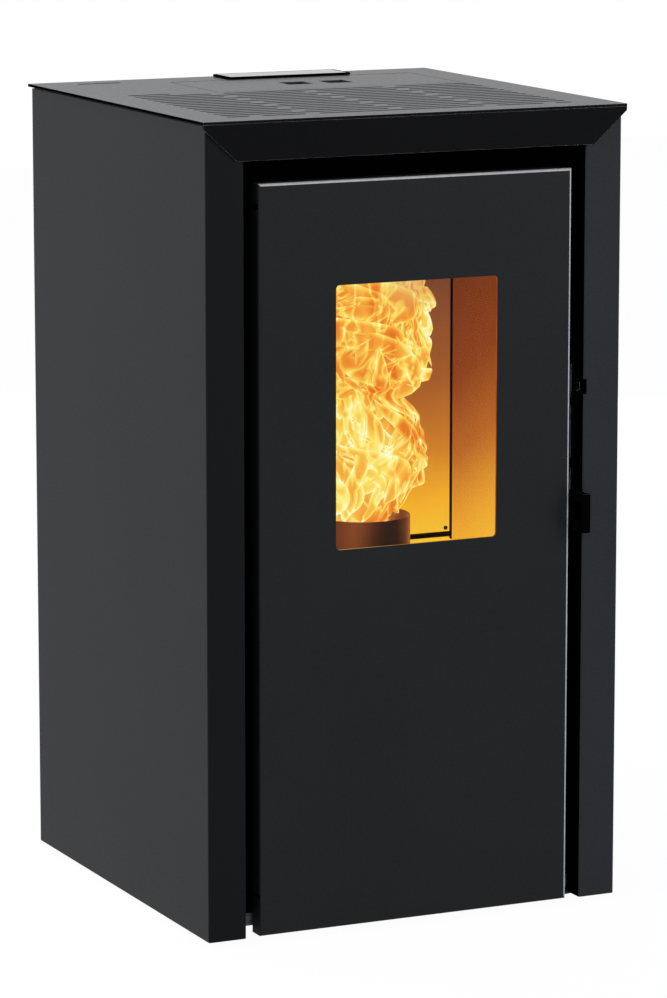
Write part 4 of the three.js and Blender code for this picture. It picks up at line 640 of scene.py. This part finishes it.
# The fire: a folded core wrapped in ribbons with bright rims.
fireShape = {
    "middle": (0.0, -0.113), "depthShare": 0.46, "backLimit": -0.074, "sideLimit": 0.128,
    "ceiling": 0.6995, "seed": 23,
    # half width at each height
    "outline": [(0.412, 0.030), (0.424, 0.044), (0.440, 0.046), (0.470, 0.058), (0.494, 0.062),
                (0.530, 0.056), (0.556, 0.034), (0.574, 0.080), (0.598, 0.084), (0.624, 0.080),
                (0.646, 0.078), (0.676, 0.068), (0.690, 0.052), (0.699, 0.014)],
    # waves round the fire: how many in a turn, how fast they climb, where they start, their share
    "folds": [(3, 31, 0.0, 0.5), (5, -52, 1.3, 0.45), (9, 83, 0.4, 0.3), (14, -120, 0.0, 0.16)],
    "foldDepth": 0.10, "sway": 0.009, "swayRate": 27, "swayStart": 0.6,
    "coreShare": 0.80, "rings": 84, "steps": 110,
    # paths that the ribbons and the strands follow up the fire
    "points": 32, "startBelow": 0.006, "endBelow": 0.004, "drift": 1.3, "wave": (0.15, 0.6),
    "waveRate": (3, 9), "swell": 0.10,
    "ribbons": 210, "ribbonLength": (0.035, 0.120), "ribbonWidth": (0.0030, 0.0150),
    "ribbonShare": (0.74, 1.0), "ribbonFlatness": 0.22, "ribbonSides": 12, "ribbonTwist": 1.4,
    "ribbonTip": 0.05, "ribbonFan": 3.0, "rimPower": 3,
    "strands": 70, "strandLength": (0.03, 0.11), "strandWidth": (0.0006, 0.0017),
    "strandShare": (0.86, 0.99), "strandFlatness": 0.7, "strandSides": 6, "strandTip": 0.1,
    "fullness": 0.7,
}


def turnsOf(count):
    return [2 * math.pi * k / count for k in range(count)]


def outlineAt(height, outline):
    for (lowZ, lowR), (highZ, highR) in zip(outline, outline[1:]):
        if height <= highZ:
            t = max(0.0, (height - lowZ) / (highZ - lowZ))
            t = t * t * (3 - 2 * t)
            return lowR + (highR - lowR) * t
    return outline[-1][1]


def firePoint(turn, height, shape, share=1.0):
    folds = sum(math.sin(count * turn + climb * height + start) * part
                for count, climb, start, part in shape["folds"])
    radius = outlineAt(height, shape["outline"]) * (1 + shape["foldDepth"] * folds) * share
    x = (shape["middle"][0] + radius * math.cos(turn)
         + shape["sway"] * math.sin(shape["swayRate"] * height + shape["swayStart"]))
    y = shape["middle"][1] + radius * shape["depthShare"] * math.sin(turn)
    limit = shape["sideLimit"]
    return Vector((max(-limit, min(limit, x)), min(shape["backLimit"], y), height))


def closeRings(work, rings):
    count = len(rings[0])
    for lower, upper in zip(rings, rings[1:]):
        for k in range(count):
            work.faces.new((lower[k], lower[(k + 1) % count], upper[(k + 1) % count], upper[k]))
    work.faces.new(list(reversed(rings[0])))
    work.faces.new(rings[-1])


def lobedCore(work, shape):
    low, high = shape["outline"][0][0], shape["outline"][-1][0]
    rings = []
    for i in range(shape["rings"] + 1):
        height = low + (high - low) * i / shape["rings"]
        rings.append([work.verts.new(firePoint(turn, height, shape, shape["coreShare"]))
                      for turn in turnsOf(shape["steps"])])
    closeRings(work, rings)


def addRibbon(work, rim, path, widths, flatness, sides, shape, twist=0.0):
    # a closed band along the path, broad side away from the middle of the fire
    rings = []
    for i, point in enumerate(path):
        ahead = (path[min(i + 1, len(path) - 1)] - path[max(i - 1, 0)]).normalized()
        out = Vector((point.x - shape["middle"][0], (point.y - shape["middle"][1]) * shape["ribbonFan"], 0))
        across = ahead.cross(out.normalized()).normalized()
        out = across.cross(ahead)
        lean = twist * i / len(path)
        broad = across * math.cos(lean) + out * math.sin(lean)
        thin = out * math.cos(lean) - across * math.sin(lean)
        ring = []
        for turn in turnsOf(sides):
            corner = work.verts.new(point + broad * widths[i] * math.cos(turn)
                                    + thin * widths[i] * flatness * math.sin(turn))
            corner[rim] = abs(math.cos(turn)) ** shape["rimPower"]
            ring.append(corner)
        rings.append(ring)
    closeRings(work, rings)


def firePath(shape, draw, length, share):
    turn = draw.uniform(0, 2 * math.pi)
    start = draw.uniform(shape["outline"][1][0] - shape["startBelow"], shape["outline"][-3][0])
    drift = draw.uniform(-shape["drift"], shape["drift"])
    wave = draw.uniform(*shape["wave"])
    rate = draw.uniform(*shape["waveRate"])
    swell = draw.uniform(-shape["swell"], shape["swell"])
    path = []
    for i in range(shape["points"]):
        t = i / (shape["points"] - 1)
        height = min(start + length * t, shape["outline"][-1][0] - shape["endBelow"])
        angle = turn + drift * t + wave * math.sin(rate * t)
        path.append(firePoint(angle, height, shape, share + swell * math.sin(math.pi * t)))
    return path


def meshFrom(work, name, finish, smooth=True):
    bmesh.ops.recalc_face_normals(work, faces=work.faces)
    for face in work.faces:
        face.smooth = smooth
    mesh = bpy.data.meshes.new(name)
    work.to_mesh(mesh)
    work.free()
    mesh.materials.append(finishes[finish])
    return mesh


def makeFire(shape):
    draw = random.Random(shape["seed"])
    work = bmesh.new()
    lobedCore(work, shape)
    addPiece("flame_core", meshFrom(work, "flame_core", "flameCore"), "pot", "flame")
    work = bmesh.new()
    rim = work.verts.layers.float.new("rim")
    last, full = shape["points"] - 1, shape["fullness"]
    for _ in range(shape["ribbons"]):
        path = firePath(shape, draw, draw.uniform(*shape["ribbonLength"]),
                        draw.uniform(*shape["ribbonShare"]))
        widest = draw.uniform(*shape["ribbonWidth"])
        widths = [widest * max(shape["ribbonTip"], math.sin(math.pi * (i / last) ** full))
                  for i in range(shape["points"])]
        addRibbon(work, rim, path, widths, shape["ribbonFlatness"], shape["ribbonSides"], shape,
                  draw.uniform(-shape["ribbonTwist"], shape["ribbonTwist"]))
    for _ in range(shape["strands"]):
        path = firePath(shape, draw, draw.uniform(*shape["strandLength"]),
                        draw.uniform(*shape["strandShare"]))
        widest = draw.uniform(*shape["strandWidth"])
        widths = [widest * max(shape["strandTip"], math.sin(math.pi * i / last) ** full)
                  for i in range(shape["points"])]
        addRibbon(work, rim, path, widths, shape["strandFlatness"], shape["strandSides"], shape)
    for corner in work.verts:
        corner.co.z = min(corner.co.z, shape["ceiling"])
    addPiece("flame_ribbons", meshFrom(work, "flame_ribbons", "flameRibbon"), "pot", "flame")


makeFire(fireShape)
print("fire is lit")


# Heaps of pellets: the burning ones in the pot, and the store in the hopper.
heaps = {
    "pot_embers": {"count": 130, "finish": "embers", "slot": "flame", "body": "pot", "seed": 5,
                   "middle": (0.0, -0.1051), "round": 0.043, "top": 0.404, "crown": 0.012, "floor": 0.372},
    "hopper_pellets": {"count": 620, "finish": "woodPellets", "slot": None, "body": "casing", "seed": 9,
                       "middle": (0.052, 0.138), "box": (0.150, 0.086), "top": 0.752, "crown": 0.018,
                       "floor": 0.728},
}
pelletSize = {"radius": 0.0031, "length": (0.010, 0.021), "sides": 8, "endShare": 0.8, "endAt": 0.46,
              "belly": (0.94, 1.03), "tilt": 0.35, "sunk": (-0.003, 0.002), "wallGap": 0.004}
heapBase = {"sides": 48, "shares": (1.0, 0.8, 0.6, 0.4, 0.2, 0.05), "below": 0.003,
            "lump": 0.0012, "lumpsX": 190, "lumpsY": 170}


def heapTop(look, x, y):
    dx, dy = x - look["middle"][0], y - look["middle"][1]
    if "round" in look:
        away = math.hypot(dx, dy) / look["round"]
    else:
        away = max(abs(dx) / look["box"][0], abs(dy) / look["box"][1])
    lump = heapBase["lump"] * math.sin(heapBase["lumpsX"] * x) * math.sin(heapBase["lumpsY"] * y)
    return look["top"] + look["crown"] * (1 - away * away) + lump


def heapRim(look, share):
    rim = []
    for turn in turnsOf(heapBase["sides"]):
        if "round" in look:
            rim.append((look["middle"][0] + look["round"] * share * math.cos(turn),
                        look["middle"][1] + look["round"] * share * math.sin(turn)))
        else:
            most = max(abs(math.cos(turn)), abs(math.sin(turn)))
            rim.append((look["middle"][0] + look["box"][0] * share * math.cos(turn) / most,
                        look["middle"][1] + look["box"][1] * share * math.sin(turn) / most))
    return rim


def addPellet(work, middle, way, length, size, draw):
    side = way.orthogonal().normalized()
    over = way.cross(side)
    rings = []
    for at, share in ((-0.5, size["endShare"]), (-size["endAt"], 1.0), (0.0, draw.uniform(*size["belly"])),
                      (size["endAt"], 1.0), (0.5, size["endShare"])):
        rings.append([work.verts.new(middle + way * length * at
                                     + (side * math.cos(turn) + over * math.sin(turn))
                                     * size["radius"] * share) for turn in turnsOf(size["sides"])])
    closeRings(work, rings)


def makeHeap(name, look, size):
    draw = random.Random(look["seed"])
    work = bmesh.new()
    # a lumpy base closes the heap from below
    rings = [[work.verts.new((x, y, look["floor"])) for x, y in heapRim(look, 1.0)]]
    for share in heapBase["shares"]:
        rings.append([work.verts.new((x, y, heapTop(look, x, y) - heapBase["below"]))
                      for x, y in heapRim(look, share)])
    closeRings(work, rings)
    for _ in range(look["count"]):
        length = draw.uniform(*size["length"])
        if "round" in look:
            inner = 1 - (length / 2 + size["radius"]) / look["round"]
            far, turn = look["round"] * inner * math.sqrt(draw.random()), draw.uniform(0, 2 * math.pi)
            x, y = look["middle"][0] + far * math.cos(turn), look["middle"][1] + far * math.sin(turn)
        else:
            x, y = (look["middle"][k] + draw.uniform(-1, 1) * (look["box"][k] - length / 2 - size["wallGap"])
                    for k in (0, 1))
        heading = draw.uniform(0, 2 * math.pi)
        tilt = draw.uniform(-size["tilt"], size["tilt"])
        way = Vector((math.cos(heading) * math.cos(tilt), math.sin(heading) * math.cos(tilt), math.sin(tilt)))
        place = Vector((x, y, heapTop(look, x, y) + draw.uniform(*size["sunk"])))
        addPellet(work, place, way, length, size, draw)
    addPiece(name, meshFrom(work, name, look["finish"]), look["body"], look["slot"])


for heapName, heapLook in heaps.items():
    makeHeap(heapName, heapLook, pelletSize)
print("pellets are in")


# Rope round the firebox mouth: strands laid round the rounded rectangle of the door's seal.
ropeLook = {"strands": 3, "laid": 0.0026, "strand": 0.0024, "pitch": 0.015, "sides": 8, "squash": 0.78,
            "corner": 0.018, "cornerSteps": 12, "step": 0.0022}


def roundedLoop(low, high, look):
    # centre line of a rounded rectangle in X and Z, evenly spaced
    corner, steps = look["corner"], look["cornerSteps"]
    dense = []
    for cx, cz, first in ((high[0] - corner, high[1] - corner, 0), (low[0] + corner, high[1] - corner, 1),
                          (low[0] + corner, low[1] + corner, 2), (high[0] - corner, low[1] + corner, 3)):
        for i in range(steps + 1):
            turn = (first + i / steps) * math.pi / 2
            dense.append(Vector((cx + corner * math.cos(turn), 0, cz + corner * math.sin(turn))))
    dense.append(dense[0])
    spans = [(b - a).length for a, b in zip(dense, dense[1:])]
    total = sum(spans)
    count = int(total / look["step"])
    loop, at, walked = [], 0, 0.0
    for i in range(count):
        target = total * i / count
        while walked + spans[at] < target:
            walked += spans[at]
            at += 1
        loop.append(dense[at].lerp(dense[at + 1], (target - walked) / max(spans[at], 1e-9)))
    return loop, total


def makeRope(look):
    low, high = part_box("door_rope_seal")
    half = (high.y - low.y) / 2
    inset = look["laid"] + look["strand"]
    loop, total = roundedLoop((low.x + inset, low.z + inset), (high.x - inset, high.z - inset), look)
    turns = round(total / look["pitch"] / look["strands"])
    depthWay = Vector((0, 1, 0))
    work = bmesh.new()
    count = len(loop)
    for strand in range(look["strands"]):
        centres = []
        for i in range(count):
            ahead = (loop[(i + 1) % count] - loop[i - 1]).normalized()
            out = ahead.cross(depthWay).normalized()
            twist = 2 * math.pi * (turns * i / count + strand / look["strands"])
            centres.append(loop[i] + out * look["laid"] * math.cos(twist)
                           + Vector((0, low.y + half + look["laid"] * look["squash"] * math.sin(twist), 0)))
        rings = []
        for i in range(count):
            ahead = (centres[(i + 1) % count] - centres[i - 1]).normalized()
            out = ahead.cross(depthWay).normalized()
            over = out.cross(ahead)
            rings.append([work.verts.new(centres[i] + (out * math.cos(turn) + over * math.sin(turn)
                                                       * look["squash"]) * look["strand"])
                          for turn in turnsOf(look["sides"])])
        for ring, after in zip(rings, rings[1:] + rings[:1]):
            for k in range(look["sides"]):
                work.faces.new((ring[k], ring[(k + 1) % look["sides"]],
                                after[(k + 1) % look["sides"]], after[k]))
    mesh = meshFrom(work, "rope_round_the_mouth", "glassFibreRope")
    addPiece("rope_round_the_mouth", mesh, nodeBody["door_rope_seal"], slotOf["door_rope_seal"],
             "door_rope_seal")


makeRope(ropeLook)


# Pan-head screws with a cross recess: where they stand, which way they face and their size.
screwRows = {
    "rear_panel_screws": {
        "body": "casing", "out": (0, 1, 0), "radius": 0.0038, "head": 0.0022, "finish": "screwSteel",
        "places": [(x, 0.2377, z) for x in (-0.229, 0.229) for z in (0.06, 0.25, 0.44, 0.63, 0.82)]},
    "back_panel_screws": {
        "body": "casing", "out": (0, -1, 0), "radius": 0.0023, "head": 0.0016, "finish": "sootScrew",
        "places": [(x, -0.0517, z) for x in (-0.1275, 0.1275) for z in (0.3895, 0.722)]},
    "door_frame_screws": {
        "body": "door", "out": (0, 1, 0), "radius": 0.0032, "head": 0.0016, "finish": "screwSteel",
        "places": [(x, -0.1993, z) for x in (-0.138, 0.138) for z in (0.362, 0.734)]},
}
# the head's outline as shares of its radius and height, and the cross sunk into it
screwShape = {"sides": 24, "outline": ((1.0, 0.0), (1.0, 0.45), (0.9, 0.8), (0.66, 0.97), (0.5, 1.0),
                                       (0.44, 1.0)),
              "arm": 0.38, "notch": 0.16, "recess": 0.45}


def addScrew(work, place, out, radius, head, shape):
    side = out.orthogonal().normalized()
    over = out.cross(side)
    turns = turnsOf(shape["sides"])
    rings = []
    for share, rise in shape["outline"]:
        rings.append([work.verts.new(place + out * head * rise
                                     + (side * math.cos(turn) + over * math.sin(turn)) * radius * share)
                      for turn in turns])
    quarter = shape["sides"] // 4
    floor = []
    for k, turn in enumerate(turns):
        arm = shape["arm"] if k % quarter in (0, 1, quarter - 1) else shape["notch"]
        floor.append(work.verts.new(place + out * head * shape["recess"]
                                    + (side * math.cos(turn) + over * math.sin(turn)) * radius * arm))
    rings.append(floor)
    closeRings(work, rings)


for rowName, row in screwRows.items():
    screwWork = bmesh.new()
    for screwPlace in row["places"]:
        addScrew(screwWork, Vector(screwPlace), Vector(row["out"]), row["radius"], row["head"], screwShape)
    addPiece(rowName, meshFrom(screwWork, rowName, row["finish"]), row["body"], "bright_steel")


# Folded strip along the foot of the back panel, black with soot, its darkness also standing in for the shade
# under the fold.
stripLook = {"reach": 0.1315, "front": -0.0575, "back": -0.0520, "low": 0.3805, "high": 0.3855,
             "lowBend": 0.001, "highBend": 0.002}


def makeStrip(look):
    front, back, low, high = look["front"], look["back"], look["low"], look["high"]
    profile = [(back, low), (front + look["lowBend"], low), (front, low + look["lowBend"]),
               (front, high - look["highBend"]), (front + look["highBend"], high), (back, high)]
    work = bmesh.new()
    closeRings(work, [[work.verts.new((x, y, z)) for y, z in profile]
                      for x in (-look["reach"], look["reach"])])
    mesh = meshFrom(work, "back_panel_foot_strip", "sootSteel", smooth=False)
    addPiece("back_panel_foot_strip", mesh, "casing", slotOf["firebox_shell"])


makeStrip(stripLook)
print("rope, screws and strip are on")
